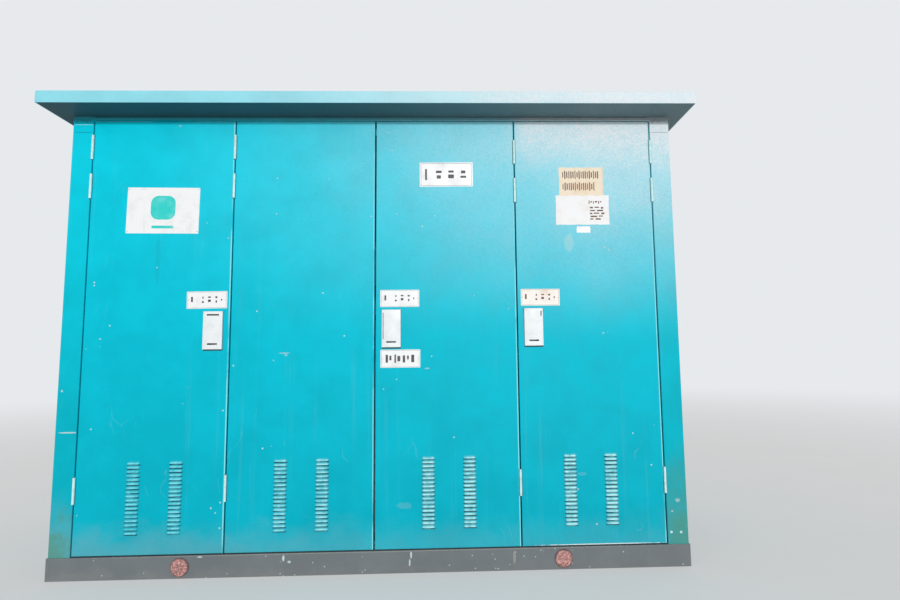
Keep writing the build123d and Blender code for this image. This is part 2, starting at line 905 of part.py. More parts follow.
def lock_case(centre_x):
    """A plate on the door's face with a tub behind it, and two ears for the rain cover."""
    ear_inner = cover_width / 2 + side_clearance
    with BuildPart() as case:
        with BuildSketch(Plane.XZ.offset(half_depth)):
            with Locations((centre_x, lock_height)):
                Rectangle(case_plate_width, cover_height - 2 * cover_depth)
            with Locations((centre_x, cover_pivot_z - cover_depth / 2)):
                Rectangle(2 * (ear_inner + ear_thickness), cover_depth)
        extrude(amount=case_plate_thickness)
        with BuildSketch(Plane.XZ.offset(half_depth)):
            with Locations((centre_x, lock_height)):
                RectangleRounded(tub_width, tub_height, tub_corner)
        extrude(amount=-tub_depth)
        with BuildSketch(Plane.XZ.offset(half_depth + case_plate_thickness)):
            with Locations((centre_x, lock_height)):
                RectangleRounded(tub_width - 2 * tub_wall, tub_height - 2 * tub_wall, tub_corner - tub_wall)
        extrude(amount=-(case_plate_thickness + tub_depth - tub_floor), mode=Mode.SUBTRACT)
        # Bore for the knob's spindle
        with BuildSketch(Plane.XZ.offset(half_depth - tub_depth)):
            with Locations((centre_x, lock_height)):
                Circle(spindle_radius + running_clearance)
        extrude(amount=tub_floor, mode=Mode.SUBTRACT)
        # Ears and the stub pins that carry the cover
        for side in (-1, 1):
            ear_low = centre_x + (ear_inner if side > 0 else -ear_inner - ear_thickness)
            with BuildSketch(Plane.YZ.offset(ear_low)):
                with BuildLine():
                    Polyline(
                        (front_y - case_plate_thickness, cover_pivot_z - cover_depth),
                        (front_y - case_plate_thickness, cover_pivot_z),
                        (cover_pivot_y, cover_pivot_z + cover_depth / 2),
                        (cover_pivot_y - cover_depth / 2, cover_pivot_z),
                        (cover_pivot_y, cover_pivot_z - cover_depth / 2),
                        close=True,
                    )
                make_face()
            extrude(amount=ear_thickness)
            with BuildSketch(Plane.YZ.offset(centre_x + side * ear_inner)):
                with Locations((cover_pivot_y, cover_pivot_z)):
                    Circle(cover_pin_radius)
            extrude(amount=-side * (side_clearance + 2 * cover_wall))
    return case.part


def lock_cover(centre_x):
    """A pressed cap, round along its top edge, that swings on the case's stub pins."""

    def cap_outline(inset):
        low = cover_bottom + inset
        front = cover_front_y + inset
        back = cover_front_y + cover_depth - inset
        with BuildSketch() as outline:
            with BuildLine():
                Line((back, cover_pivot_z), (back, low))
                Line((back, low), (front, low))
                Line((front, low), (front, cover_pivot_z))
                ThreePointArc(
                    (front, cover_pivot_z),
                    (cover_pivot_y, cover_pivot_z + cover_depth / 2 - inset),
                    (back, cover_pivot_z),
                )
            make_face()
        return outline.sketch

    with BuildPart() as cover:
        with BuildSketch(Plane.YZ.offset(centre_x - cover_width / 2)):
            add(cap_outline(0))
        extrude(amount=cover_width)
        with BuildSketch(Plane.YZ.offset(centre_x - cover_width / 2 + cover_wall)):
            add(cap_outline(cover_wall))
            # The cap is open at the back below its rounded top
            opening_bottom = cover_bottom + cover_wall
            with Locations((cover_pivot_y + cover_depth / 2, opening_bottom)):
                Rectangle(cover_depth, cover_pivot_z - opening_bottom, align=(Align.CENTER, Align.MIN))
        extrude(amount=cover_width - 2 * cover_wall, mode=Mode.SUBTRACT)
        # Finger slot near the lower edge
        with BuildSketch(Plane.XZ.offset(-cover_front_y)):
            with Locations((centre_x, cover_bottom + cover_slot_rise)):
                Rectangle(cover_slot_width, cover_slot_height)
        extrude(amount=-cover_wall, mode=Mode.SUBTRACT)
        # Holes for the stub pins
        with BuildSketch(Plane.YZ.offset(centre_x - cover_width / 2)):
            with Locations((cover_pivot_y, cover_pivot_z)):
                Circle(cover_pin_radius + running_clearance)
        extrude(amount=cover_width, mode=Mode.SUBTRACT)
    return cover.part


def lock_knob(centre_x):
    """A wing knob in the tub, its spindle through the tub's floor, and the cam with two crank pins."""
    boss_base_y = front_y + tub_depth - tub_floor - side_clearance
    with BuildPart() as knob:
        with BuildSketch(Plane.XZ.offset(-boss_base_y)):
            with Locations((centre_x, lock_height)):
                Circle(boss_radius)
        extrude(amount=boss_height)
        with BuildSketch(Plane.XZ.offset(-boss_base_y + boss_height)):
            with Locations((centre_x, lock_height)):
                RectangleRounded(wing_width, wing_length, tub_corner)
        extrude(amount=wing_height)
        with BuildSketch(Plane.XZ.offset(-boss_base_y)):
            with Locations((centre_x, lock_height)):
                Circle(spindle_radius)
        extrude(amount=-(cam_y + cam_thickness - boss_base_y))
        # Cam plate turned back by half the sweep, with a crank pin at each end
        crank = radians(crank_half_sweep)
        pin_x = crank_radius * cos(crank)
        pin_z = crank_radius * sin(crank)
        with BuildSketch(Plane.XZ.offset(-cam_y)):
            with Locations(Location((centre_x, lock_height), -crank_half_sweep)):
                SlotCenterToCenter(2 * crank_radius, cam_width)
        extrude(amount=-cam_thickness)
        with BuildSketch(Plane.XZ.offset(-(cam_y + cam_thickness))):
            with Locations(
                (centre_x + pin_x, lock_height - pin_z),
                (centre_x - pin_x, lock_height + pin_z),
            ):
                Circle(crank_pin_radius)
        extrude(amount=-(cam_gap + rod_thickness))
    return knob.part


def latch_rod(centre_x, side):
    """A flat latch rod with a cross slot round its crank pin; side is 1 for the upper rod."""
    bar_x = centre_x + side * crank_offset
    pin_z = lock_height - side * crank_radius * sin(radians(crank_half_sweep))
    inner_end = pin_z - side * (crank_pin_radius + rod_slot_play + rod_thickness)
    if side > 0:
        outer_end = door_top - rod_end_inset
    else:
        outer_end = door_bottom + rod_end_inset
    slot_length = crank_radius * (1 - cos(radians(crank_half_sweep))) + 2 * (crank_pin_radius + rod_slot_play)
    with BuildPart() as rod:
        with BuildSketch(Plane.XZ.offset(-rod_y)):
            with Locations((bar_x, (inner_end + outer_end) / 2)):
                Rectangle(rod_width, abs(outer_end - inner_end))
            with Locations((bar_x, pin_z)):
                Rectangle(slot_length, 2 * (crank_pin_radius + rod_slot_play), mode=Mode.SUBTRACT)
        extrude(amount=-rod_thickness)
        tip = rod.faces().sort_by(Axis.Z)[-1 if side > 0 else 0]
        chamfer(tip.edges().filter_by(Axis.Y), length=rod_thickness)
    return rod.part


for number, door in doors.items():
    if door["lock"]:
        save(lock_case(lock_centre(number)), f"door_{number}_lock_case")
        save(lock_cover(lock_centre(number)), f"door_{number}_lock_cover")
        save(lock_knob(lock_centre(number)), f"door_{number}_lock_knob")
        save(latch_rod(lock_centre(number), 1), f"door_{number}_upper_rod")
        save(latch_rod(lock_centre(number), -1), f"door_{number}_lower_rod")

# Switch units in the middle bay

unit_centres = (-unit_pitch, 0.0, unit_pitch)
unit_middle_y = unit_front_y + unit_depth / 2

with BuildPart() as switch_units:
    with BuildSketch(Plane.XY.offset(unit_bottom)):
        for x in unit_centres:
            with Locations((x, unit_middle_y)):
                Rectangle(unit_width, unit_depth)
    extrude(amount=unit_height)
    with BuildSketch(Plane.XY.offset(unit_bottom)):
        for x in unit_centres:
            with Locations((x, unit_middle_y)):
                Rectangle(unit_width - 2 * unit_sheet, unit_depth - 2 * unit_sheet)
    extrude(amount=unit_height - unit_sheet, mode=Mode.SUBTRACT)

save(switch_units.part, "switch_units")

with BuildPart() as unit_fronts:
    front_width = unit_width - 2 * unit_front_margin
    front_height = unit_height - 2 * unit_front_margin
    with BuildSketch(Plane.XZ.offset(-unit_front_y)):
        for x in unit_centres:
            with Locations((x, unit_bottom + unit_height / 2)):
                Rectangle(front_width, front_height)
    extrude(amount=unit_front_thickness)
    chamfer(unit_fronts.faces().filter_by(Plane.XZ).group_by(Axis.Y)[0].edges(), length=unit_front_chamfer)
    # Windows over the position indicator, the bore for each knob and the cable cover's seam
    with BuildSketch(Plane.XZ.offset(-unit_front_y + unit_front_thickness)):
        for x in unit_centres:
            with Locations((x, unit_knob_height + unit_window_rise)):
                RectangleRounded(unit_window_width, unit_window_height, unit_window_corner)
            with Locations((x, unit_knob_height)):
                Circle(unit_spindle_radius + running_clearance)
    extrude(amount=-unit_front_thickness, mode=Mode.SUBTRACT)
    with BuildSketch(Plane.XZ.offset(-unit_front_y + unit_front_thickness)):
        for x in unit_centres:
            with Locations((x, unit_bottom + cable_cover_height)):
                Rectangle(front_width, cover_seam_width)
    extrude(amount=-cover_seam_depth, mode=Mode.SUBTRACT)

save(unit_fronts.part, "unit_fronts")


def switch_knob(x):
    """A round knob with a raised grip, on a spindle through the unit's front."""
    face_y = unit_front_y - unit_front_thickness
    with BuildPart() as knob:
        with BuildSketch(Plane.XZ.offset(-face_y + side_clearance)):
            with Locations((x, unit_knob_height)):
                Circle(unit_knob_radius)
        extrude(amount=unit_knob_depth / 2)
        with BuildSketch(Plane.XZ.offset(-face_y + side_clearance + unit_knob_depth / 2)):
            with Locations((x, unit_knob_height)):
                RectangleRounded(unit_grip_width, unit_grip_length, unit_front_chamfer)
        extrude(amount=unit_knob_depth / 2)
        with BuildSketch(Plane.XZ.offset(-face_y + side_clearance)):
            with Locations((x, unit_knob_height)):
                Circle(unit_spindle_radius)
        extrude(amount=-unit_front_thickness)
    return knob.part


for index, x in enumerate(unit_centres, start=1):
    save(switch_knob(x), f"switch_knob_{index}")

# Low-voltage board with its breaker

with BuildPart() as low_voltage_board:
    with BuildSketch(Plane.XY.offset(board_bottom)):
        with Locations((board_centre_x, board_front_y + board_depth / 2)):
            Rectangle(board_width, board_depth)
    extrude(amount=board_height)
    with BuildSketch(Plane.XY.offset(board_bottom)):
        with Locations((board_centre_x, board_front_y + board_depth / 2)):
            Rectangle(board_width - 2 * unit_sheet, board_depth - 2 * unit_sheet)
    extrude(amount=board_height - unit_sheet, mode=Mode.SUBTRACT)

save(low_voltage_board.part, "low_voltage_board")

breaker_front_y = board_front_y - breaker_depth
toggle_pivot_y = breaker_front_y + toggle_radius

with BuildPart() as breaker:
    with BuildSketch(Plane.XZ.offset(-board_front_y)):
        with Locations((board_centre_x, breaker_centre_height)):
            RectangleRounded(breaker_width, breaker_height, toggle_radius)
    extrude(amount=breaker_depth)
    # The well in which the toggle tips
    with BuildSketch(Plane.YZ.offset(board_centre_x - toggle_width / 2 - side_clearance)):
        with Locations((toggle_pivot_y, breaker_centre_height)):
            Circle(toggle_radius + side_clearance)
            Rectangle(
                2 * toggle_radius,
                2 * (toggle_radius + toggle_well_margin),
                align=(Align.MAX, Align.CENTER),
            )
    extrude(amount=toggle_width + 2 * side_clearance, mode=Mode.SUBTRACT)
    # The bar that the toggle turns on
    with BuildSketch(Plane.YZ.offset(board_centre_x - toggle_width / 2 - side_clearance)):
        with Locations((toggle_pivot_y, breaker_centre_height)):
            Circle(toggle_bar_radius)
    extrude(amount=toggle_width + 2 * side_clearance)

save(breaker.part, "breaker")

with BuildPart() as breaker_toggle:
    with BuildSketch(Plane.YZ.offset(board_centre_x - toggle_width / 2)):
        with Locations((toggle_pivot_y, breaker_centre_height)):
            Circle(toggle_radius)
            with Locations(Location((0, 0), -toggle_tilt)):
                Rectangle(toggle_reach, toggle_radius, align=(Align.MAX, Align.CENTER))
            Circle(toggle_bar_radius + running_clearance, mode=Mode.SUBTRACT)
    extrude(amount=toggle_width)

save(breaker_toggle.part, "breaker_toggle")

# Control box on the left partition, and the earthing bar below it

with BuildPart() as control_box:
    partition_face = -partition_x - partition_sheet / 2
    with BuildSketch(Plane.XY.offset(control_bottom)):
        with Locations((partition_face - control_width / 2, 0)):
            Rectangle(control_width, control_depth)
    extrude(amount=control_height)
    fillet(control_box.edges().filter_by(Axis.Z).group_by(Axis.X)[0], radius=control_corner)
    offset(amount=-skin_sheet, openings=control_box.faces().sort_by(Axis.X)[-1])

save(control_box.part, "control_box")

with BuildPart() as earthing_bar:
    with BuildSketch(Plane.YZ.offset(partition_face - earth_standoff)):
        with Locations((0, earth_bottom + earth_height / 2)):
            Rectangle(earth_length, earth_height)
            with GridLocations(earth_hole_pitch, 1, earth_hole_count, 1):
                Circle(earth_hole_radius, mode=Mode.SUBTRACT)
    extrude(amount=-earth_thickness)
    # Stand-offs that hold the bar away from the partition
    with BuildSketch(Plane.YZ.offset(partition_face)):
        with Locations((0, earth_bottom + earth_height / 2)):
            with GridLocations(earth_length - 2 * earth_standoff_inset, 1, 2, 1):
                Circle(earth_standoff_radius)
    extrude(amount=-earth_standoff)

save(earthing_bar.part, "earthing_bar")
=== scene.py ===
import math

import bmesh
import bpy
from mathutils import Matrix, Vector


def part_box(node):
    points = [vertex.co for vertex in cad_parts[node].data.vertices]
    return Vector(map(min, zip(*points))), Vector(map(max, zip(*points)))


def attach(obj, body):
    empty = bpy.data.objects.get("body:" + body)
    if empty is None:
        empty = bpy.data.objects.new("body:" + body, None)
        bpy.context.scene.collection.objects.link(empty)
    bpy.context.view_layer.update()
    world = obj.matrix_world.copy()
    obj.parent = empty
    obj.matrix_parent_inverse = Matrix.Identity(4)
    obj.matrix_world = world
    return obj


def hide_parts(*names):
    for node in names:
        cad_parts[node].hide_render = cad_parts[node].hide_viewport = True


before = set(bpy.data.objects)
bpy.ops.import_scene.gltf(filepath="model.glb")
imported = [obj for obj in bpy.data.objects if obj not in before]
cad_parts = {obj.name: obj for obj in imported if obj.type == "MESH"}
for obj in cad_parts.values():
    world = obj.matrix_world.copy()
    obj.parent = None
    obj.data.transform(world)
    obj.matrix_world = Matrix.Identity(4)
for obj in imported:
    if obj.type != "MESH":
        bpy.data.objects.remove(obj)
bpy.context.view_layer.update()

NODE_SLOTS = {
    name: node.material_slots[0].material.name.split(".")[0] for name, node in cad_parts.items()
}

bl_info = {
    "name": "Roadside utility cabinet",
    "version": (1, 0, 0),
    "blender": (4, 5, 0),
    "location": "View3D > Sidebar > Cabinet",
    "description": "Dresses a four-door roadside cabinet: enamel, louvre hoods, plates and screws",
    "category": "Object",
}

# Places on the cabinet, in metres from the middle of its foot

DOOR_FACE = -0.650
MARKED_FROM = -0.6488  # marks and painted edge highlights lie only on faces in front of this y
DOOR_TOP = 2.161
DOOR_SEAMS = (-1.374, -0.687, 0.0, 0.687, 1.374)
REAR_SEAMS = (-1.374, -0.687, 0.687, 1.374)
DOOR_MIDDLES = {1: -1.0305, 2: -0.344, 3: 0.344, 4: 1.0305}
LOUVRE = {"width": 0.057, "height": 0.011, "reach": 0.006, "pitch": 0.0184, "count": 18}
LOUVRE_TOP = 0.522
LOUVRE_SPACING = 0.194
LOUVRE_SHIFTS = {1: 0.018, 2: 0.005, 3: 0.006, 4: -0.010}
LOUVRE_COLUMNS = {
    door: [middle + LOUVRE_SHIFTS[door] + side * LOUVRE_SPACING / 2 for side in (-1, 1)]
    for door, middle in DOOR_MIDDLES.items()
}
# Form of a hood: powers that crowd its columns to the ends and turn its ends and slope, the shares by
# which the lip and the apron under it are drawn back, and how far the apron's two rows hang down
HOOD_CROWDING = 2.4
HOOD_END_TURN = 40.0
HOOD_SLOPE = 0.8
LIP_TUCK = 0.25
APRON_TUCK = 0.97
APRON_DROPS = (0.0058, 0.0009)
LOCK_MIDDLES = {1: -0.765, 3: 0.079, 4: 0.765}
# Dark mark on each rain cover: across from the lock's middle, height above ground, width, height
LOCK_MARKS = {
    1: (0.0, 1.2010, 0.058, 0.0075),
    3: (-0.0385, 1.1400, 0.0032, 0.126),
    4: (0.036, 1.1930, 0.0055, 0.024),
}
# Rubber seat round each lock cover: how far it reaches past the cover and under its rim, and how far its foot
# runs below the cover as a painted shadow
SEAT_REACH = 0.001
SEAT_UNDER = 0.005
SEAT_SHADOW_FOOT = 0.0065
SEAT_CORNER = 0.003
SEAT_THICKNESS = 0.0012
# Dark mark: its thickness, how deep its back stands in the cover, its corner as a share of its short side
MARK_THICKNESS = 0.0006
MARK_SINK = 0.0002
MARK_CORNER = 0.4
UNIT_MIDDLES = (-0.4, 0.0, 0.4)
UNIT_PANE = {"width": 0.1365, "height": 0.0685, "corner": 0.0102}
PANE_LEVEL = 1.336
PANE_BACK = -0.3810
PANE_THICKNESS = 0.0050
POST_SCREWS = ((1.394, 0.155), (1.440, 0.154))  # x and z, at the foot of the right post
# Screws and rivets: how far each stands in from its sheet's edge
REAR_MARGIN = 0.022
WALL_MARGIN = 0.024
SCREW_ROWS = 6
ROW_MARGIN = 0.06
UNIT_SCREW_REACH = 0.16
UNIT_SCREW_MARGIN = 0.012
UNIT_SCREW_SHARES = (0.7, 0.8)  # radius and height as shares of a panel screw's
RIVET_MARGIN = 0.007
RIVET_DROP = 0.010
HIGH_PLATE = 0.1  # a plate higher than this has four rivets
# Slot of a screw: width and depth as shares of the head's, and where on the dome it begins
SLOT_WIDTH = 0.42
SLOT_DEPTH = 0.55
SLOT_FROM = 0.2
FACING = {"front": 0.0, "right": math.pi / 2, "back": math.pi, "left": -math.pi / 2}

# Plates: door, left, right, bottom, top, tilt in degrees, finish
PLATES = {
    "label_door_1": (1, -0.895, -0.704, 1.232, 1.315, 0.4, "label_enamel"),
    "label_door_3": (3, 0.025, 0.213, 1.231, 1.314, 0.0, "label_enamel"),
    "label_door_4": (4, 0.706, 0.896, 1.231, 1.313, -0.3, "stained_enamel"),
    "low_label_door_3": (3, 0.027, 0.217, 0.940, 1.026, 0.0, "label_enamel"),
    "sign_door_3": (3, 0.217, 0.480, 1.826, 1.949, 0.3, "plate_enamel"),
    "plate_door_1": (1, -1.197, -0.851, 1.598, 1.825, -0.6, "plate_enamel"),
}
# Printed fields: across and up from the plate's middle, width and height, as shares of the plate
BORDER = (
    (0.0, 0.455, 0.95, 0.012), (0.0, -0.455, 0.95, 0.012),
    (-0.474, 0.0, 0.005, 0.90), (0.474, 0.0, 0.005, 0.90),
)
LABEL_FIELDS = (
    (-0.37, 0.04, 0.045, 0.30), (-0.10, 0.14, 0.030, 0.12),
    (-0.10, -0.12, 0.050, 0.10), (0.06, 0.16, 0.070, 0.08),
    (0.06, -0.05, 0.070, 0.14), (0.23, 0.15, 0.055, 0.10),
    (0.23, -0.10, 0.035, 0.14), (0.36, 0.00, 0.030, 0.10),
    *BORDER,
)
LOW_LABEL_FIELDS = (
    (-0.34, 0.0, 0.060, 0.44), (-0.25, 0.04, 0.050, 0.26),
    (-0.13, 0.0, 0.040, 0.46), (-0.04, 0.0, 0.075, 0.30),
    (0.09, -0.02, 0.060, 0.40), (0.19, 0.06, 0.045, 0.22), (0.31, 0.0, 0.075, 0.42),
    *BORDER,
)
SIGN_FIELDS = (
    (-0.38, 0.0, 0.035, 0.46), (-0.14, 0.11, 0.110, 0.10),
    (-0.14, -0.10, 0.080, 0.14), (0.09, 0.12, 0.100, 0.09),
    (0.09, -0.08, 0.110, 0.16), (0.32, 0.10, 0.085, 0.12), (0.32, -0.10, 0.110, 0.09),
    *BORDER,
)
TEAL_FIELDS = ((0.0, 0.06, 0.34, 0.52), (0.0, -0.36, 0.30, 0.06))
# Print of each plate: fields, finish, and the fields' corner as a share of their shorter side
PRINTS = {
    "label_door_1": (LABEL_FIELDS, "plate_print", 0.22),
    "label_door_3": (LABEL_FIELDS, "plate_print", 0.22),
    "label_door_4": (LABEL_FIELDS, "notice_print", 0.22),
    "low_label_door_3": (LOW_LABEL_FIELDS, "plate_print", 0.22),
    "sign_door_3": (SIGN_FIELDS, "plate_print", 0.22),
    "plate_door_1": (TEAL_FIELDS, "teal_print", 0.3),
}
PRINT_SINK = 0.00002  # how deep the back of a printed field stands in its plate
# Forms of a pasted sheet: its face's depth as a share of its thickness, then how far its rim is ragged,
# its corner lifts and its face ripples
SHEET_FACE = 0.3
RAGGED_RIM = 0.0014
LIFTED_CORNER = 0.0011
RIPPLE = 0.00018
# Sheets pasted on door 4: left and right, bottom and top, finish, share of the thickness, seed of the rim
NOTICES = {
    "upper_notice": ((0.909, 1.130), (1.776, 1.922), "notice_paper", 1.0, 11),
    "lower_notice": ((0.890, 1.155), (1.631, 1.779), "notice_white", 1.6, 5),
    "notice_tab": ((0.991, 1.058), (1.591, 1.622), "label_enamel", 1.0, 3),
}
NOTICE_FIELDS = {
    "upper_notice": [
        (-0.41 + 0.0465 * step, up, 0.020 + 0.005 * (step**2 % 3), 0.19 + 0.035 * (step**2 * 3 % 7 % 4))
        for up, count in ((0.24, 18), (-0.17, 16))
        for step in range(count)
    ],
    "lower_notice": [
        (0.13, 0.27, 0.018, 0.12), (0.17, 0.28, 0.030, 0.05),
        (0.21, 0.26, 0.016, 0.10), (0.26, 0.28, 0.040, 0.06),
        (0.31, 0.26, 0.018, 0.11), (0.35, 0.28, 0.026, 0.05),
        (0.17, 0.08, 0.06, 0.05), (0.27, 0.09, 0.09, 0.04),
        (0.37, 0.07, 0.05, 0.06), (0.19, -0.02, 0.10, 0.04),
        (0.33, -0.02, 0.12, 0.05), (0.16, -0.12, 0.05, 0.05),
        (0.26, -0.11, 0.11, 0.04), (0.38, -0.12, 0.06, 0.06),
        (0.21, -0.22, 0.13, 0.05), (0.34, -0.21, 0.08, 0.04),
        (0.17, -0.31, 0.07, 0.04), (0.29, -0.31, 0.10, 0.05),
    ],
}

# Marks on the front: x and z of the middle, half width, half height, colour, strength
DOOR_MARKS = (
    (-0.430, 1.016, 0.0300, 0.0030, "primer", 0.55),
    (-0.420, 1.006, 0.0080, 0.0050, "primer", 0.45),
    (0.250, 0.935, 0.0120, 0.0040, "primer", 0.50),
    (0.980, 0.430, 0.0240, 0.0090, "primer", 0.10),
    (0.140, 0.300, 0.0400, 0.0160, "primer", 0.09),
    (-1.040, 1.470, 0.0120, 0.1300, (20, 166, 186), 0.22),
    (0.950, 1.540, 0.0260, 0.0500, "plate_aged", 0.16),
    (1.060, 0.1085, 0.3100, 0.0026, "plate", 0.85),
)
FRAME_MARKS = (
    # painted shadow of the roof across the top rail and the tops of the corner caps
    (0.0, 2.180, 2.80, 0.0290, (66, 70, 84), 0.58),
    # painted highlights: pale lines on the corner caps at the lower edge of that shadow
    (-1.425, 2.143, 0.060, 0.0016, (206, 246, 248), 0.75),
    (1.425, 2.143, 0.060, 0.0016, (232, 248, 250), 0.75),
    (-1.415, 0.660, 0.050, 0.0035, "primer", 0.80),
    (-1.425, 2.104, 0.060, 0.0016, (24, 104, 118), 0.75),
    (1.425, 2.104, 0.060, 0.0016, (84, 128, 140), 0.75),
    (1.430, 0.300, 0.012, 0.0100, "primer", 0.50),
    (1.402, 0.250, 0.006, 0.0040, "primer", 0.60),
)
BASE_MARKS = (
    (0.1715, 0.080, 0.0045, 0.0180, "primer", 0.95),
    (0.1650, 0.048, 0.0040, 0.0180, "primer", 0.95),
    (-0.4130, 0.080, 0.0060, 0.0150, "primer", 0.90),
    (-0.3860, 0.062, 0.0080, 0.0060, "primer", 0.80),
    (-0.7900, 0.093, 0.0120, 0.0040, "primer", 0.80),
    (0.6500, 0.060, 0.0070, 0.0300, "dust", 0.55),
    (0.0000, 0.098, 1.4700, 0.0022, "dust", 0.45),
)

# Settings


def from_screen(red, green, blue):
    """A colour as seen on a screen, 0 to 255, as the linear colour that the nodes use."""
    return tuple(
        value / 255 / 12.92 if value / 255 <= 0.04045 else ((value / 255 + 0.055) / 1.055) ** 2.4
        for value in (red, green, blue)
    )


def tint(name, description, default):
    return bpy.props.FloatVectorProperty(
        name=name, description=description, default=default, subtype="COLOR", size=3, min=0.0, max=1.0
    )


def swatch(name, description, screen_colour):
    return tint(name, description, from_screen(*screen_colour))


def number(name, description, default, **limits):
    return bpy.props.FloatProperty(name=name, description=description, default=default, **limits)


def length(name, description, default):
    return number(name, description, default, unit="LENGTH", subtype="DISTANCE", min=0.0)


def share(name, description, default):
    return number(name, description, default, subtype="FACTOR", min=0.0, max=1.0)


def angle(name, description, default):
    return number(name, description, default, subtype="ANGLE")


class CabinetColours(bpy.types.PropertyGroup):
    """The colours of the enamel, the metals, the plates and the dirt, and of painted light and shade."""

    door_low: swatch("Door enamel, low", "Teal of the doors near the ground", (0, 178, 199))
    door_high: swatch("Door enamel, high", "Teal of the doors near the roof", (0, 214, 237))
    frame_low: swatch("Frame enamel, low", "Teal of the posts near the ground", (0, 172, 190))
    frame_high: swatch("Frame enamel, high", "Teal of the posts near the roof", (0, 214, 236))
    # paler than the doors: sun fade together with a painted reflection of the sky
    roof: swatch("Roof enamel", "Chalky teal of the roof cap", (150, 226, 240))
    # painted shade: the soffit's teal darkened as if it lay in the roof's shadow
    soffit: swatch("Soffit enamel", "Shaded, dusty teal under the roof", (56, 92, 102))
    inner: swatch("Inner enamel", "Teal of the faces that the sun does not reach", (4, 150, 172))
    base: swatch("Base enamel", "Dark grey of the channel base", (121, 126, 129))
    # colour of the chalky sun fade and of the painted glare over it
    sun_haze: swatch("Sun haze", "Chalky bloom of the most faded enamel", (238, 243, 247))
    dust: swatch("Road dust", "Dry dust that gathers low down", (176, 174, 166))
    # colour of the painted highlight along the doors' folds
    edge: swatch("Worn edges", "Pale enamel along the doors' folds", (150, 236, 244))
    # pale hood slopes: wear together with a painted highlight, whiter to the right
    hood_left: swatch("Worn hoods, left", "Pale teal of the louvre hoods on the left", (128, 232, 244))
    hood_right: swatch("Worn hoods, right", "Bleached teal of the louvre hoods on the right", (206, 255, 255))
    # painted shadow together with grime in the gaps under the hood lips
    hood_gap: swatch("Hood gaps", "Grime in the gaps under the louvre hoods", (0, 62, 72))
    growth: swatch("Green growth", "Algae at the feet of the posts", (96, 140, 92))
    rust: swatch("Rust", "Rust where the enamel has gone", (120, 66, 40))
    primer: swatch("Chipped enamel", "Pale primer that shows in chips and scratches", (206, 220, 222))
    cover: swatch("Lock cover enamel", "Off-white of the rain covers", (245, 248, 250))
    pin: swatch("Lifting pin enamel", "Faded, dusty red of the lifting pins", (208, 150, 145))
    # painted shade round the rim of the lifting pins
    pin_rim: swatch("Lifting pin rim", "Grime round the rim of the lifting pins", (74, 58, 56))
    hinge: swatch("Hinge steel", "Worn, partly painted hinge steel", (218, 250, 250))
    zinc: swatch("Zinc", "Plated steel of rods, screws and rivets", (196, 198, 196))
    galvanised: swatch("Galvanised sheet", "Spangled zinc of the inner sheets", (168, 172, 174))
    rubber: swatch("Rubber", "Greyed black of the door gaskets", (44, 74, 82))
    unit: swatch("Unit enamel", "Light grey of the switch units", (206, 208, 202))
    plastic: swatch("Moulded plastic", "Near-black of knobs and breaker", (44, 45, 48))
    pane: swatch("Window pane", "Dark panes of the switch units", (24, 30, 33))
    copper: swatch("Copper", "Dull copper of the earthing bar", (198, 128, 92))
    plate: swatch("Plate white", "White enamel of the plates", (251, 251, 252))
    plate_stained: swatch("Stained plate", "White enamel that rust water has tinted", (248, 242, 234))
    plate_aged: swatch("Aged notice", "Cream of the notice that the sun has browned", (250, 234, 210))
    plate_ink: swatch("Plate print", "Dark grey of the printed fields", (66, 64, 70))
    aged_ink: swatch("Aged print", "Brown of the printed fields on the notices", (108, 76, 66))
    plate_teal: swatch("Plate teal", "Teal field on the large plate", (26, 214, 206))
    floor: swatch("Floor", "Pale studio floor", (226, 224, 219))


class CabinetSizes(bpy.types.PropertyGroup):
    """The sizes of the small parts that the scene adds."""

    hood_margin: length("Hood margin", "How far a pressed hood reaches past its slot at each end", 0.0020)
    hood_skin: length("Hood skin", "How far a pressed hood stands off the solid under it", 0.00035)
    hood_blend: length("Hood blend", "Height over which a hood runs out into the door above it", 0.0015)
    plate_thickness: length("Plate thickness", "Sheet thickness of the enamelled plates", 0.0010)
    plate_corner: length("Plate corner", "Corner radius of the plates", 0.0040)
    print_thickness: length("Print thickness", "How far the printed fields stand off a plate", 0.00015)
    notice_thickness: length("Notice thickness", "Thickness of the notices on door 4", 0.0006)
    notice_print: length("Notice print", "How far the printed bars stand off a notice", 0.0005)
    rivet_radius: length("Rivet radius", "Radius of the plate rivets", 0.0028)
    rivet_height: length("Rivet height", "Height of the plate rivets", 0.0011)
    screw_radius: length("Screw radius", "Radius of the panel screws", 0.0065)
    screw_height: length("Screw height", "Height of the panel screws", 0.0028)
    edge_round: length("Edge rounding", "Rounding of the roof's and the covers' edges", 0.0016)


class CabinetWear(bpy.types.PropertyGroup):
    """How strongly each kind of wear shows."""

    # strength of the chalky fade together with the painted glare
    haze: share("Sun haze", "Strength of the chalky bloom", 1.0)
    dust: share("Dust", "Strength of the dust low down", 0.30)
    streaks: share("Rain streaks", "Strength of the vertical streaks", 0.06)
    chips: share("Chips", "How much of the enamel is chipped", 0.16)
    scratches: share("Scratches", "Strength of the hairline scratches", 0.10)
    growth: share("Growth", "Strength of the green growth on the posts", 0.50)


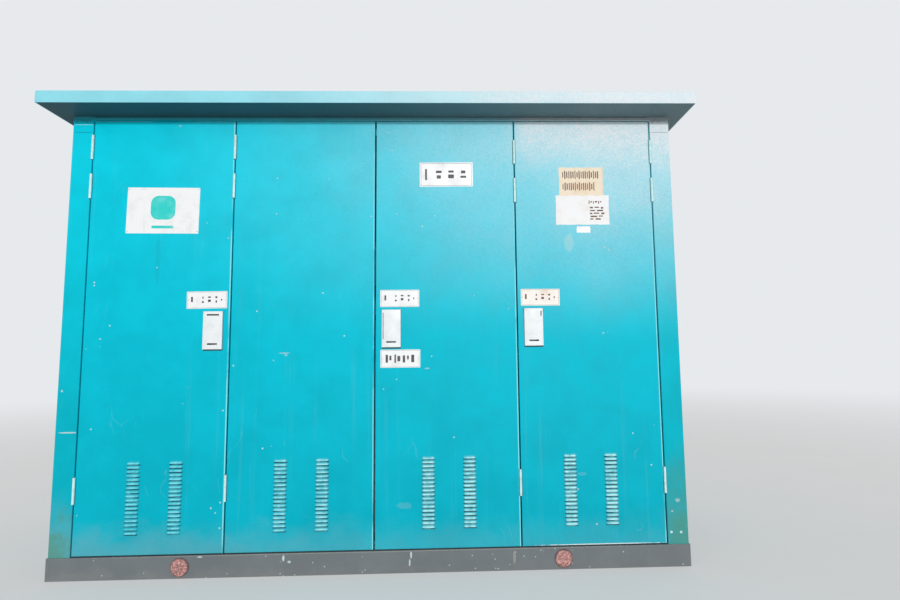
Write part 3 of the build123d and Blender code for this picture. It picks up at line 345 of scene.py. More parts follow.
class CabinetStudio(bpy.types.PropertyGroup):
    """The floor, the light and the camera."""

    floor_size: length("Floor size", "Half the side of the floor", 30.0)
    backdrop: tint("Backdrop", "Colour of the backdrop", (0.80, 0.82, 0.845))
    sky: tint("Sky", "Colour of the even light", (0.97, 0.985, 1.0))
    sky_strength: number("Sky light", "Strength of the even light", 0.56, min=0.0)
    sun_strength: number("Key light", "Strength of the key light", 1.40, min=0.0)
    sun_height: angle("Key height", "Height of the key light above the horizon", math.radians(13))
    sun_side: angle("Key side", "How far the key light stands to the right", math.radians(9))
    sun_softness: angle("Key softness", "Angle that the key light fills", math.radians(4))
    camera_place: bpy.props.FloatVectorProperty(
        name="Camera place", description="Where the camera stands", subtype="TRANSLATION", unit="LENGTH",
        default=(0.3734494, -3.3521086, 0.9923238), size=3,
    )
    camera_yaw: angle("Camera yaw", "Turn of the camera to the right", 0.0314894)
    camera_pitch: angle("Camera pitch", "Tilt of the camera upwards", 0.0992588)
    camera_roll: angle("Camera roll", "Lean of the camera", -0.0124266)
    camera_lens: number("Lens", "Focal length on a 36 mm sensor", 22.4, min=1.0)
    camera_shift: number("Shift", "Sideways shift of the picture", -0.0222222)


# Nodes


def feed(socket, value):
    """Links a value to a socket, or sets the socket's own number, vector or colour."""
    if isinstance(value, Value):
        socket.id_data.links.new(value.socket, socket)
    elif socket.type == "RGBA":
        socket.default_value = (*value, 1.0)
    else:
        socket.default_value = value


def add_node(tree, kind, inputs=(), **settings):
    """A new node with its settings, and with its inputs fed by their number or name."""
    node = tree.nodes.new(kind)
    for key, value in settings.items():
        setattr(node, key, value)
    for key, value in dict(inputs).items():
        feed(node.inputs[key], value)
    return node


def answer(tree, kind, inputs=(), output=0, **settings):
    """One output of a new node."""
    return Value(add_node(tree, kind, inputs, **settings).outputs[output])


class Value:
    """A node's output. Python's operators and these methods add the nodes that work on it."""

    def __init__(self, socket):
        self.socket = socket
        self.tree = socket.id_data

    def calc(self, operation, *values, clamp=False):
        """A Math node's answer, or a Vector Math node's where this value is a vector."""
        if self.socket.type == "VECTOR":
            return answer(self.tree, "ShaderNodeVectorMath", enumerate(values), operation=operation)
        return answer(self.tree, "ShaderNodeMath", enumerate(values), operation=operation, use_clamp=clamp)

    def __add__(self, other):
        return self.calc("ADD", self, other)

    def __sub__(self, other):
        return self.calc("SUBTRACT", self, other)

    def __rsub__(self, other):
        return self.calc("SUBTRACT", other, self)

    def __mul__(self, other):
        return self.calc("MULTIPLY", self, other)

    def __truediv__(self, other):
        return self.calc("DIVIDE", self, other)

    def __pow__(self, other):
        return self.calc("POWER", self, other)

    def __abs__(self):
        return self.calc("ABSOLUTE", self)

    def __lt__(self, other):
        return self.calc("LESS_THAN", self, other)

    def __gt__(self, other):
        return self.calc("GREATER_THAN", self, other)

    def least(self, other):
        return self.calc("MINIMUM", self, other)

    def most(self, other):
        return self.calc("MAXIMUM", self, other)

    def root(self):
        return self.calc("SQRT", self)

    def split(self):
        """The three parts of a vector."""
        node = add_node(self.tree, "ShaderNodeSeparateXYZ", {0: self})
        return [Value(output) for output in node.outputs]

    def spread(self, low, high, to_low=0.0, to_high=1.0, smooth=True):
        """The value's place between low and high, carried over to the new limits."""
        kind = "SMOOTHSTEP" if smooth else "LINEAR"
        inputs = enumerate((self, low, high, to_low, to_high))
        return answer(self.tree, "ShaderNodeMapRange", inputs, interpolation_type=kind)

    def blend(self, first, second):
        """From the first colour, where this value is 0, to the second, where it is 1."""
        return answer(self.tree, "ShaderNodeMix", {0: self, 6: first, 7: second}, 2, data_type="RGBA")

    def noise(self, scale, detail=2.0, roughness=0.5):
        inputs = {"Vector": self, "Scale": scale, "Detail": detail, "Roughness": roughness}
        return answer(self.tree, "ShaderNodeTexNoise", inputs)

    def cells(self, scale, feature="F1"):
        """The distance and the colour of a cell pattern."""
        node = add_node(self.tree, "ShaderNodeTexVoronoi", {"Vector": self, "Scale": scale}, feature=feature)
        return Value(node.outputs[0]), Value(node.outputs[1])


def joined(tree, x=0.0, y=0.0, z=0.0):
    return answer(tree, "ShaderNodeCombineXYZ", enumerate((x, y, z)))


def radius_of(first, second):
    """How far a point lies from the middle, by its two distances."""
    return (first * first + second * second).root()


SOCKETS = {float: "NodeSocketFloat", int: "NodeSocketInt", tuple: "NodeSocketVector"}


def new_group(name, kind, inputs, outputs):
    """An empty node group: its tree, what comes in by name, and the sockets for what goes out."""
    tree = bpy.data.node_groups.new(name, kind)
    for way, sockets in (("INPUT", inputs), ("OUTPUT", outputs)):
        for label, default in sockets.items():
            has_default = type(default) in SOCKETS
            socket_type = SOCKETS[type(default)] if has_default else default
            socket = tree.interface.new_socket(name=label, in_out=way, socket_type=socket_type)
            if has_default:
                socket.default_value = default
    given = {output.name: Value(output) for output in add_node(tree, "NodeGroupInput").outputs if output.name}
    return tree, given, add_node(tree, "NodeGroupOutput").inputs


def mask(**inputs):
    """Makes a shared shader group of a function that works a mask out of a position and more inputs."""

    def wrap(build):
        def use(position, **values):
            tree = bpy.data.node_groups.get(build.__name__)
            if tree is None:
                sockets = {"position": (0.0, 0.0, 0.0), **inputs}
                tree, given, result = new_group(build.__name__, "ShaderNodeTree", sockets, {"mask": 0.0})
                feed(result["mask"], build(**given))
            return answer(position.tree, "ShaderNodeGroup", {"position": position, **values}, node_tree=tree)

        return use

    return wrap


# Masks of wear and dirt, and of painted glare and highlights


@mask(amount=1.0, front=-0.64, depth=0.35, band=0.38)
def sun_bloom(position, amount, front, depth, band):
    """Chalky sun fade with painted glare over it: strongest high up on the front and towards the right, as
    the sun reaches it.
    """
    x, y, z = position.split()
    across = x.spread(-1.5, 1.5, smooth=False).least(0.85) ** 2.6
    corner = x.spread(0.64, 0.76) * z.spread(1.88, 2.12, 0.0, band)
    upward = z.spread(1.02, 2.12)
    facing = y.spread(front, front + depth, 1.0, 0.22)
    cloud = position.noise(1.6, 3.0, 0.55).spread(0.3, 0.7, 0.72, 1.12)
    frost = position.noise(130.0, 3.0, 0.75).spread(0.34, 0.66, 0.76, 1.16)
    bloom = (across * upward + corner) * (facing * cloud * frost)
    return bloom.calc("MULTIPLY", bloom, amount, clamp=True)


@mask(low=0.1, high=0.4)
def ground_dust(position, low, high):
    """Dust that rises from the ground with a broken upper edge."""
    x, _, z = position.split()
    height = z + (position.noise(9.0, 5.0, 0.62) - 0.5) * 0.22
    speckle = position.noise(160.0, 3.0, 0.7).spread(0.32, 0.68, 0.55, 1.0)
    return height.spread(low, high, 1.0, 0.0) * speckle * x.spread(-1.3, 0.6, 1.0, 0.42)


@mask(fineness=26.0)
def rain_streaks(position, fineness):
    """Long vertical streaks where rain has run down the sheet."""
    broad = (position * (1.0, 1.0, 0.02)).noise(fineness, 4.0, 0.6)
    patches = position.noise(2.3, 2.0, 0.5).spread(0.4, 0.68)
    return broad.spread(0.54, 0.72) * patches


@mask(scale=22.0, amount=0.06)
def enamel_chips(position, scale, amount):
    """Small scattered chips: only a few cells of the pattern carry one."""
    distance, colour = position.cells(scale)
    luck, size, _ = colour.split()
    reach = distance + (position.noise(420.0) - 0.5) * 0.22
    return (luck < amount) * (reach < size.spread(0.0, 1.0, 0.05, 0.19))


@mask(scale=7.0)
def hairline_scratches(position, scale):
    """Fine pale lines, broken into short runs."""
    x, y, z = position.split()
    line = x * 0.9 + y * 0.9 + position.noise(3.1) * 0.35
    edge, _ = joined(position.tree, line, z * 0.16).cells(scale, "DISTANCE_TO_EDGE")
    hair = edge.spread(0.0, 0.006, 1.0, 0.0, smooth=False)
    return hair * position.noise(7.0).spread(0.60, 0.66)


@mask(height=0.7)
def green_growth(position, height):
    """Algae that climbs the feet of the posts in soft patches."""
    x, _, z = position.split()
    climb = z + (position.noise(6.0, 5.0, 0.65) - 0.5) * 0.9
    low = climb.spread(0.12, height * x.spread(-0.5, 0.5, 0.44, 1.0), 1.0, 0.0)
    return low * abs(x).spread(1.33, 1.42)


@mask()
def sheet_relief(position):
    """The height of sprayed sheet: orange peel and the slow waves of the metal."""
    return position.noise(620.0, 2.0, 0.5) * 0.035 + position.noise(3.4, 2.0, 0.4)


@mask(scale=30.0, amount=0.4)
def rust_bloom(position, scale, amount):
    """Rust in soft-edged patches."""
    edge = 0.72 - amount * 0.4
    return position.noise(scale, 6.0, 0.68).spread(edge, edge + 0.07)


@mask()
def worn_edges(position):
    """Painted highlight along the folded edges of the doors, in long broken runs."""
    x, y, z = position.split()
    near = abs(z - DOOR_TOP)
    for seam in DOOR_SEAMS:
        near = near.least(abs(x - (seam - 0.0058)))
    runs = position.noise(2.6, 4.0, 0.6).spread(0.38, 0.54)
    return near.spread(0.0024, 0.0040, 1.0, 0.0) * runs * (y < MARKED_FROM)


@mask(centre=(0.0, 0.0, 0.0), size=(1.0, 1.0, 1.0))
def run_mark(position, centre, size):
    """One mark on a face seen from the front: a soft-edged oval about a centre, broken by noise."""
    x, _, z = ((position - centre) / size).split()
    broken = (position.noise(90.0, 4.0, 0.7) - 0.5) * 1.3
    mark = (radius_of(x, z) + broken).spread(0.75, 1.05, 1.0, 0.0)
    return mark * (position.split()[1] < MARKED_FROM)


# Finishes


def start_material(name):
    """An empty material, its surface shader's inputs and the object's own coordinates."""
    material = bpy.data.materials.new(name)
    material.use_nodes = True
    tree = material.node_tree
    tree.nodes.clear()
    surface = add_node(tree, "ShaderNodeBsdfPrincipled")
    add_node(tree, "ShaderNodeOutputMaterial", {"Surface": Value(surface.outputs[0])})
    return material, surface.inputs, answer(tree, "ShaderNodeTexCoord", output="Object")


def surfaced(surface, colour, roughness, relief, depth, **constants):
    """Feeds a surface shader: colour, roughness, a relief of this depth, and constants on its own sockets."""
    bump = {"Strength": 1.0, "Distance": depth, "Height": relief}
    feed(surface["Base Color"], colour)
    feed(surface["Roughness"], roughness)
    feed(surface["Normal"], answer(relief.tree, "ShaderNodeBump", bump))
    for label, value in constants.items():
        surface[label.replace("_", " ")].default_value = value


def weathered_enamel(
    name, low, high, colours, wear, marks=(), bloom=0.0, bloom_and_glare_front=-0.64, bloom_and_glare_depth=0.35, bloom_and_glare_band=0.38,
    dust=1.0, dust_low=0.10, dust_high=0.34, growth=0.0, streaks=1.0, scratches=1.0, edges=0.0,
    chips=0.05, chip_scale=22.0, roughness=0.46,
):
    """Sprayed enamel that has stood outdoors, from low on the cabinet to high, with wear over it, and painted
    glare, highlights and shadows where asked.
    """
    material, surface, position = start_material(name)
    mottle = position.noise(5.2, 6.0, 0.62).spread(0.3, 0.7)
    plain = position.split()[2].spread(0.1, 2.15, smooth=False).blend(low, high)
    toned = {"Value": mottle.spread(0.0, 1.0, 0.93, 1.05, smooth=False), "Color": plain}
    colour = answer(position.tree, "ShaderNodeHueSaturation", toned)
    dusty = ground_dust(position, low=dust_low, high=dust_high)
    layers = []
    # chalky sun fade with painted glare, strongest high up on the front
    if bloom:
        place = {"front": bloom_and_glare_front, "depth": bloom_and_glare_depth, "band": bloom_and_glare_band}
        layers.append((sun_bloom(position, amount=bloom * wear.haze, **place), colours.sun_haze))
    layers.append((rain_streaks(position) * (streaks * wear.streaks), colours.dust))
    layers.append((dusty * (dust * wear.dust), colours.dust))
    if growth:
        layers.append((green_growth(position, height=0.62) * (growth * wear.growth), colours.growth))
    layers.append((hairline_scratches(position) * (scratches * wear.scratches), colours.primer))
    layers.append((enamel_chips(position, scale=chip_scale, amount=chips * wear.chips), colours.primer))
    # painted highlight along the doors' folds and tops
    if edges:
        layers.append((worn_edges(position) * edges, colours.edge))
    for x, z, half_width, half_height, tone, strength in marks:
        mark = run_mark(position, centre=(x, 0.0, z), size=(half_width, 1.0, half_height))
        tone = getattr(colours, tone) if isinstance(tone, str) else from_screen(*tone)
        layers.append((mark * strength, tone))
    for amount, tone in layers:
        colour = amount.blend(colour, tone)
    rough = mottle.spread(0.0, 1.0, roughness - 0.06, roughness + 0.06)
    rough = rough.calc("ADD", rough, dusty * 0.28, clamp=True)
    surfaced(surface, colour, rough, sheet_relief(position), 0.0012, Specular_IOR_Level=0.08)
    return material


def hood_enamel(name, colours):
    """The doors' enamel on the pressed hoods: worn pale with a painted highlight on each slope, dark with
    painted shadow and grime in the gap beneath.
    """
    material, surface, position = start_material(name)
    x, _, z = position.split()
    pitch = LOUVRE["pitch"]
    turn = (LOUVRE_TOP - z) / pitch
    down = turn.calc("FRACT", turn) * pitch
    middles = [middle for pair in LOUVRE_COLUMNS.values() for middle in pair]
    across = abs(x - middles[0])
    for middle in middles[1:]:
        across = across.least(abs(x - middle))
    inner = across.spread(0.0200, 0.0290, 1.0, 0.25)
    patch = position.noise(34.0, 4.0, 0.65)
    enamel = z.spread(0.1, 2.15).blend(colours.door_low, colours.door_high)
    # pale tone of the slopes: wear and painted highlight
    pale = x.spread(-1.3, 0.9).blend(colours.hood_left, colours.hood_right)
    bleach_and_sheen = patch.spread(0.28, 0.62, 0.35, 1.0) * inner
    crest_wear_and_sheen = down.spread(0.0008, 0.0050) * down.spread(0.0060, 0.0110, 1.0, 0.62)
    # painted shadow and grime in the gap under each lip
    gap_shade_and_grime = down.spread(0.0104, 0.0112) * down.spread(0.0158, 0.0180, 1.0, 0.0)
    grime = (position * (0.35, 1.0, 1.0)).noise(48.0).spread(0.36, 0.56, 0.55, 1.0)
    colour = (gap_shade_and_grime * grime).blend((crest_wear_and_sheen * bleach_and_sheen).blend(enamel, pale), colours.hood_gap)
    rough = patch.spread(0.3, 0.7, 0.42, 0.6)
    surfaced(surface, colour, rough, position.noise(520.0), 0.0002, Specular_IOR_Level=0.10)
    return material


def plated_steel(name, colour, colours, roughness=0.36, metallic=1.0, rust=0.0, grime=0.25, grain=1.0):
    """Plated or worn steel: cloudy tone, fine grain, some rust."""
    material, surface, position = start_material(name)
    cloud = position.noise(60.0, 4.0, 0.6)
    shade = cloud.spread(0.35, 0.68, 0.0, grime).blend(colour, colour * 0.45)
    if rust:
        shade = rust_bloom(position, scale=70.0, amount=rust).blend(shade, colours.rust)
    fine = (position * (1.0, 1.0, 8.0)).noise(380.0, 3.0, 0.6) * grain
    rough = cloud.spread(0.2, 0.8, roughness - 0.1, roughness + 0.14)
    surfaced(surface, shade, rough, fine, 0.0003, Metallic=metallic)
    return material


def pin_enamel(name, colours):
    """Faded red of the lifting pins: bare and pale in spots, dark round the rim with painted shade."""
    material, surface, position = start_material(name)
    low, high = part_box("lifting_pin_front_right")
    x, _, z = position.split()
    radius = (high.x - low.x) / 2
    reach = radius_of(abs(x) - (low.x + high.x) / 2, z - (low.z + high.z) / 2)
    patch = position.noise(95.0, 4.0, 0.65)
    shade = patch.spread(0.40, 0.62).blend(colours.pin * 0.42, colours.pin)
    pale = (position + (3.1, 0.0, 1.7)).noise(130.0, 3.0, 0.6).spread(0.52, 0.64, 0.0, 0.75)
    shade = pale.blend(shade, lighter(colours.pin, 1.5, 0.05))
    shade = rust_bloom(position, scale=70.0, amount=0.3).blend(shade, colours.rust)
    # painted shade round the rim of the pin
    shade = reach.spread(radius - 0.007, radius - 0.001, 0.0, 0.75).blend(shade, colours.pin_rim)
    surfaced(surface, shade, patch.spread(0.3, 0.7, 0.6, 0.82), patch, 0.0012)
    return material


def spangled_zinc(name, colours):
    """Galvanised sheet: crystals of slightly different greys, dulled by dust."""
    material, surface, position = start_material(name)
    _, crystals = position.cells(85.0)
    tone = crystals.split()[0]
    shade = tone.spread(0.0, 1.0, smooth=False).blend(colours.galvanised * 0.78, colours.galvanised * 1.12)
    shade = position.noise(7.0, 5.0, 0.6).spread(0.45, 0.75, 0.0, 0.4).blend(shade, colours.dust)
    surfaced(surface, shade, tone.spread(0.0, 1.0, 0.38, 0.56), tone, 0.0002, Metallic=0.35)
    return material


def lighter(colour, factor, lift):
    return tuple(min(1.0, part * factor + lift) for part in colour)


def moulded(name, colour, roughness=0.45, grain=0.00012):
    """Moulded plastic or rubber with a fine grain and a soft change of sheen."""
    material, surface, position = start_material(name)
    cloud = position.noise(36.0, 4.0, 0.6)
    shade = cloud.spread(0.35, 0.7, 0.0, 0.35).blend(colour, lighter(colour, 1.7, 0.01))
    rough = cloud.spread(0.2, 0.8, roughness - 0.08, roughness + 0.12)
    surfaced(surface, shade, rough, position.noise(900.0), grain)
    return material


def aged_print(name, colour, stain, stain_amount, roughness=0.38):
    """Enamelled or printed plate: clean colour with stains, thin streaks and a faint grain."""
    material, surface, position = start_material(name)
    stain = from_screen(*stain)
    cloud = position.noise(14.0, 6.0, 0.66)
    shade = cloud.spread(0.46, 0.72, 0.0, stain_amount).blend(colour, stain)
    shade = (rain_streaks(position, fineness=90.0) * 0.35).blend(shade, stain)
    rough = cloud.spread(0.3, 0.8, roughness, roughness + 0.2)
    surfaced(surface, shade, rough, position.noise(240.0, 3.0, 0.6), 0.0002)
    return material


def finish(name):
    """The finish for one material slot of the record, or for one of the scene's own pieces."""
    plain = bpy.data.materials.get(name)
    if plain and plain.get("finished"):
        return plain
    if plain:
        plain.name = name + "_plain"
    tones = bpy.context.scene.cabinet_colours
    wear = bpy.context.scene.cabinet_wear
    makers = {
        # door enamel: painted glare over the fade, and painted highlights along the folds
        "door_paint": lambda: weathered_enamel(
            name, tones.door_low, tones.door_high, tones, wear, DOOR_MARKS, bloom=1.0, bloom_and_glare_front=-0.6496,
            bloom_and_glare_depth=0.0009, dust=0.85, dust_high=0.27, chips=0.10, chip_scale=48.0, edges=0.9,
        ),
        "hood_paint": lambda: hood_enamel(name, tones),
        # frame enamel with painted glare, and among its marks a painted shadow under the roof
        "frame_paint": lambda: weathered_enamel(
            name, tones.frame_low, tones.frame_high, tones, wear, FRAME_MARKS, bloom=1.05, dust_high=0.42,
            growth=1.0, chips=0.11,
        ),
        # roof cap: pale enamel and strong painted glare on the fascia, whitest to the right
        "roof_paint": lambda: weathered_enamel(
            name, tones.roof, tones.roof, tones, wear, bloom=1.65, bloom_and_glare_band=0.0, bloom_and_glare_front=-0.8090,
            bloom_and_glare_depth=0.0016, dust=0.0, streaks=1.6, chips=0.10, roughness=0.55,
        ),
        # soffit: dark colour as painted shade, with painted glare lightening it to the right
        "soffit_paint": lambda: weathered_enamel(
            name, tones.soffit, tones.soffit, tones, wear, bloom=0.28, bloom_and_glare_band=0.0, bloom_and_glare_depth=1.6,
            chips=0.03, scratches=0.3, streaks=0.4,
        ),
        "inner_paint": lambda: weathered_enamel(
            name, tones.inner, tones.inner, tones, wear, chips=0.02, scratches=0.4, streaks=0.3
        ),
        "base_paint": lambda: weathered_enamel(
            name, tones.base, tones.base, tones, wear, BASE_MARKS, dust=0.5, dust_low=0.0, dust_high=0.05,
            chips=0.9, chip_scale=75.0, scratches=0.8, streaks=1.6, roughness=0.62,
        ),
        "pin_paint": lambda: pin_enamel(name, tones),
        "floor_steel": lambda: plated_steel(name, tones.galvanised * 0.8, tones, 0.5, 0.3, rust=0.25),
        "hinge_steel": lambda: plated_steel(name, tones.hinge, tones, 0.5, 0.1, rust=0.12, grime=0.30),
        "stainless": lambda: plated_steel(name, tones.zinc, tones, 0.28, grain=2.0),
        "zinc_steel": lambda: plated_steel(name, tones.zinc, tones, 0.34, rust=0.12),
        "earth_copper": lambda: plated_steel(name, tones.copper, tones, 0.36, grime=0.6),
        "galvanised_sheet": lambda: spangled_zinc(name, tones),
        "gasket_rubber": lambda: moulded(name, tones.rubber, 0.72, 0.0004),
        "knob_plastic": lambda: moulded(name, tones.plastic, 0.4),
        "breaker_plastic": lambda: moulded(name, tones.plastic * 1.6, 0.45),
        "window_pane": lambda: moulded(name, tones.pane, 0.14, 0.00001),
        "cover_steel": lambda: aged_print(name, tones.cover, (202, 208, 206), 0.34, 0.36),
        "unit_paint": lambda: aged_print(name, tones.unit, (170, 170, 162), 0.20, 0.42),
        "plate_enamel": lambda: aged_print(name, tones.plate, (198, 204, 206), 0.30, 0.30),
        "label_enamel": lambda: aged_print(name, tones.plate, (214, 210, 202), 0.38, 0.34),
        "stained_enamel": lambda: aged_print(name, tones.plate_stained, (240, 208, 184), 0.60, 0.40),
        "notice_paper": lambda: aged_print(name, tones.plate_aged, (240, 208, 176), 0.70, 0.66),
        "notice_white": lambda: aged_print(name, tones.plate, (240, 226, 214), 0.50, 0.60),
        "plate_print": lambda: aged_print(name, tones.plate_ink, (120, 120, 124), 0.5, 0.42),
        "notice_print": lambda: aged_print(name, tones.aged_ink, (186, 150, 124), 0.6, 0.6),
        "teal_print": lambda: aged_print(name, tones.plate_teal, (150, 232, 228), 0.45, 0.35),
    }
    material = makers[name]()
    material["finished"] = True
    return material


# Meshes


def new_object(name, mesh):
    piece = bpy.data.objects.new(name, mesh)
    bpy.context.scene.collection.objects.link(piece)
    return piece


def remove_draft(draft):
    mesh = draft.data
    bpy.data.objects.remove(draft)
    bpy.data.meshes.remove(mesh)


def plain_mesh(name, shape):
    """The mesh of a bmesh, whose faces are turned outwards first."""
    bmesh.ops.recalc_face_normals(shape, faces=shape.faces)
    mesh = bpy.data.meshes.new(name)
    shape.to_mesh(mesh)
    shape.free()
    return mesh


def settled(piece, name):
    """The mesh of a piece with its modifiers worked in."""
    graph = bpy.context.evaluated_depsgraph_get()
    mesh = bpy.data.meshes.new_from_object(piece.evaluated_get(graph))
    mesh.name = name
    return mesh


def keep(name, mesh, finish_name, body="root", smooth_angle=None):
    """Makes the finished object of a mesh, gives it its finish and lets it ride on its body."""
    piece = new_object(name, mesh)
    mesh.name = name
    mesh.materials.clear()
    mesh.materials.append(finish(finish_name))
    if smooth_angle is not None:
        mesh.shade_smooth()
        mesh.set_sharp_from_angle(angle=smooth_angle)
    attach(piece, body)
    return piece


def rounded_outline(width, height, corner, steps=4):
    """A rectangle's outline with round corners, from its lower right corner, as pairs of across and up."""
    points = []
    for turn, (side, up) in enumerate(((1, -1), (1, 1), (-1, 1), (-1, -1))):
        for step in range(steps + 1):
            bearing = -math.pi / 2 + turn * math.pi / 2 + step * math.pi / 2 / steps
            across = side * (width / 2 - corner) + corner * math.cos(bearing)
            points.append((across, up * (height / 2 - corner) + corner * math.sin(bearing)))
    return points


def tilted(middle, tilt, across, up):
    """The x and z of a place given across and up from a middle, on something turned by its tilt."""
    x = middle[0] + across * math.cos(tilt) - up * math.sin(tilt)
    return x, middle[1] + across * math.sin(tilt) + up * math.cos(tilt)


def add_slab(shape, width, height, corner, middle, back, thickness, tilt=0.0, easing=0.3):
    """Adds a thin slab that faces the front, with round corners and an eased front edge."""
    corner = min(corner, 0.45 * width, 0.45 * height)
    edge = min(thickness * easing, corner * 0.8)
    rings = []
    for inset, y in ((0.0, back), (0.0, back - thickness + edge), (edge, back - thickness)):
        outline = rounded_outline(width - 2 * inset, height - 2 * inset, max(corner - inset, 0.00005))
        places = [tilted(middle, tilt, across, up) for across, up in outline]
        rings.append([shape.verts.new((x, y, z)) for x, z in places])
    count = len(rings[0])
    for near, far in zip(rings, rings[1:]):
        for index in range(count):
            following = (index + 1) % count
            shape.faces.new((near[index], near[following], far[following], far[index]))
    shape.faces.new(rings[-1])
    shape.faces.new(reversed(rings[0]))


def slab_mesh(name, *measures, **more):
    """The mesh of one slab by itself."""
    shape = bmesh.new()
    add_slab(shape, *measures, **more)
    return plain_mesh(name, shape)


def eased_copy(node_name, width, body="root"):
    """A merged copy of a solid with its hard edges rounded, shown in its place."""
    shape = bmesh.new()
    shape.from_mesh(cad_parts[node_name].data)
    bmesh.ops.remove_doubles(shape, verts=shape.verts, dist=0.00001)
    bmesh.ops.dissolve_limit(shape, angle_limit=math.radians(1.0), verts=shape.verts, edges=shape.edges)
    mesh = bpy.data.meshes.new(node_name + "_draft")
    shape.to_mesh(mesh)
    shape.free()
    draft = new_object(node_name + "_draft", mesh)
    rounding = draft.modifiers.new("rounding", "BEVEL")
    rounding.width = width
    rounding.segments = 3
    rounding.limit_method = "ANGLE"
    rounding.angle_limit = math.radians(40)
    rounding.harden_normals = False
    result = settled(draft, node_name + "_eased")
    remove_draft(draft)
    piece = keep(node_name + "_eased", result, NODE_SLOTS[node_name], body, math.radians(32))
    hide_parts(node_name)


def dress(*names, finish_name=None):
    """Gives CAD nodes their finish."""
    for name in names:
        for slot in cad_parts[name].material_slots:
            slot.material = finish(finish_name or NODE_SLOTS[name])


# Patterns in Geometry Nodes


def pattern(**inputs):
    """Makes a tree of a function that sets out a form on points, and ends it as one mesh with a material."""

    def wrap(build):
        def use():
            name = build.__name__
            if name in bpy.data.node_groups:
                return bpy.data.node_groups[name]
            sockets = {"points": "NodeSocketGeometry", **inputs, "material": "NodeSocketMaterial"}
            tree, given, result = new_group(name, "GeometryNodeTree", sockets, {"mesh": "NodeSocketGeometry"})
            material = given.pop("material")
            real = answer(tree, "GeometryNodeRealizeInstances", {0: build(**given)})
            merging = {"Geometry": real, "Distance": 0.00002}
            coat = {"Geometry": answer(tree, "GeometryNodeMergeByDistance", merging), "Material": material}
            feed(result["mesh"], answer(tree, "GeometryNodeSetMaterial", coat))
            return tree

        return use

    return wrap


def grid_shares(tree, across, along):
    """A grid mesh with each point's share across, -1 to 1, and along, 0 to 1."""
    inputs = {"Size X": 2.0, "Size Y": 1.0, "Vertices X": across, "Vertices Y": along}
    grid = answer(tree, "GeometryNodeMeshGrid", inputs, "Mesh")
    x, y, _ = answer(tree, "GeometryNodeInputPosition").split()
    return grid, x, y + 0.5


def shaped(grid, x, y, z):
    place = {"Geometry": grid, "Position": joined(grid.tree, x, y, z)}
    return answer(grid.tree, "GeometryNodeSetPosition", place)


def set_out(points, instance, **rotation):
    inputs = {"Points": points, "Instance": instance, **rotation}
    return answer(points.tree, "GeometryNodeInstanceOnPoints", inputs)


@pattern(**LOUVRE, margin=0.002, skin=0.0003, blend=0.0015)
def louvre_hoods(points, width, height, reach, pitch, count, margin, skin, blend):
    """Pressed louvre hoods: a bulged skin with a rolled lower lip, repeated down a column from each point."""
    grid, across, along = grid_shares(points.tree, 15, 10)
    # Columns crowd towards the two ends, where the hood turns down to the door
    spread = 1.0 - (1.0 - abs(across)) ** HOOD_CROWDING
    x = across.calc("SIGN", across) * spread * (width * 0.5 + margin)
    ends = spread.calc("SUBTRACT", 1.0, spread ** HOOD_END_TURN, clamp=True).root()
    # Two rows lie on the door below the hood, the third is the lip rolled back, the rest run up the slope
    below = along < 1.5 / 9
    lip = (along < 2.5 / 9) - below
    rise = along.calc("DIVIDE", along - 3 / 9, 6 / 9, clamp=True)
    back = 1.0 - lip * LIP_TUCK - below * APRON_TUCK
    out = (reach + skin) * (1.0 - rise) ** HOOD_SLOPE * back
    apron = below * along.spread(0.0, 1 / 9, *APRON_DROPS, smooth=False)
    z = rise * (height + blend) - height - (lip * (skin * 2.0) + apron)
    hood = shaped(grid, x, out * ends * -1.0, z)
    row = {"Count": count, "Offset": joined(points.tree, z=pitch * -1.0)}
    column = set_out(answer(points.tree, "GeometryNodeMeshLine", row), hood)
    return set_out(points, column)


@pattern(radius=0.005, height=0.002, slot_width=0.0, slot_depth=0.0, facing=0.0, seed=1)
def domed_heads(points, radius, height, slot_width, slot_depth, facing, seed):
    """Domed heads of screws and rivets, with a slot turned at random, one on each point."""
    grid, across, along = grid_shares(points.tree, 17, 7)
    bearing = across * math.pi
    quarter = along * (math.pi / 2)
    ring = radius * quarter.calc("COSINE", quarter)
    x = ring * bearing.calc("COSINE", bearing)
    z = ring * bearing.calc("SINE", bearing)
    dome = height * quarter.calc("SINE", quarter)
    cut = (abs(x) < slot_width * 0.5) * (along > SLOT_FROM) * slot_depth
    head = shaped(grid, x, cut - dome, z)
    chance = {2: 0.0, 3: math.pi, "Seed": seed}
    turn = answer(points.tree, "FunctionNodeRandomValue", chance, 1, data_type="FLOAT")
    return set_out(points, head, Rotation=joined(points.tree, 0.0, turn, facing))


def patterned(name, points, tree, values, finish_name, body):
    """Runs a tree on a set of points and keeps the result as one plain mesh."""
    mesh = bpy.data.meshes.new(name + "_draft")
    mesh.from_pydata(points, [], [])
    draft = new_object(name + "_draft", mesh)
    modifier = draft.modifiers.new("pattern", "NODES")
    modifier.node_group = tree
    sockets = {item.name: item.identifier for item in tree.interface.items_tree if item.in_out == "INPUT"}
    for label, value in {**values, "material": finish(finish_name)}.items():
        modifier[sockets[label]] = value
    result = settled(draft, name)
    draft.modifiers.remove(modifier)
    remove_draft(draft)
    if not result.polygons:
        raise RuntimeError(name + " came out empty")
    keep(name, result, finish_name, body, math.radians(40))


def heads(
    name, points, radius, height, body="root", facing="front", slot_share=0.0, seed=1, slot="zinc_steel"
):
    """A set of like screw or rivet heads on one body."""
    values = {
        "radius": radius, "height": height,
        "slot_width": radius * slot_share, "slot_depth": height * SLOT_DEPTH,
        "facing": FACING[facing], "seed": seed,
    }
    patterned(name, points, domed_heads(), values, slot, body)


# Operators


def middle_and_size(left, right, bottom, top):
    return ((left + right) / 2, (bottom + top) / 2), right - left, top - bottom


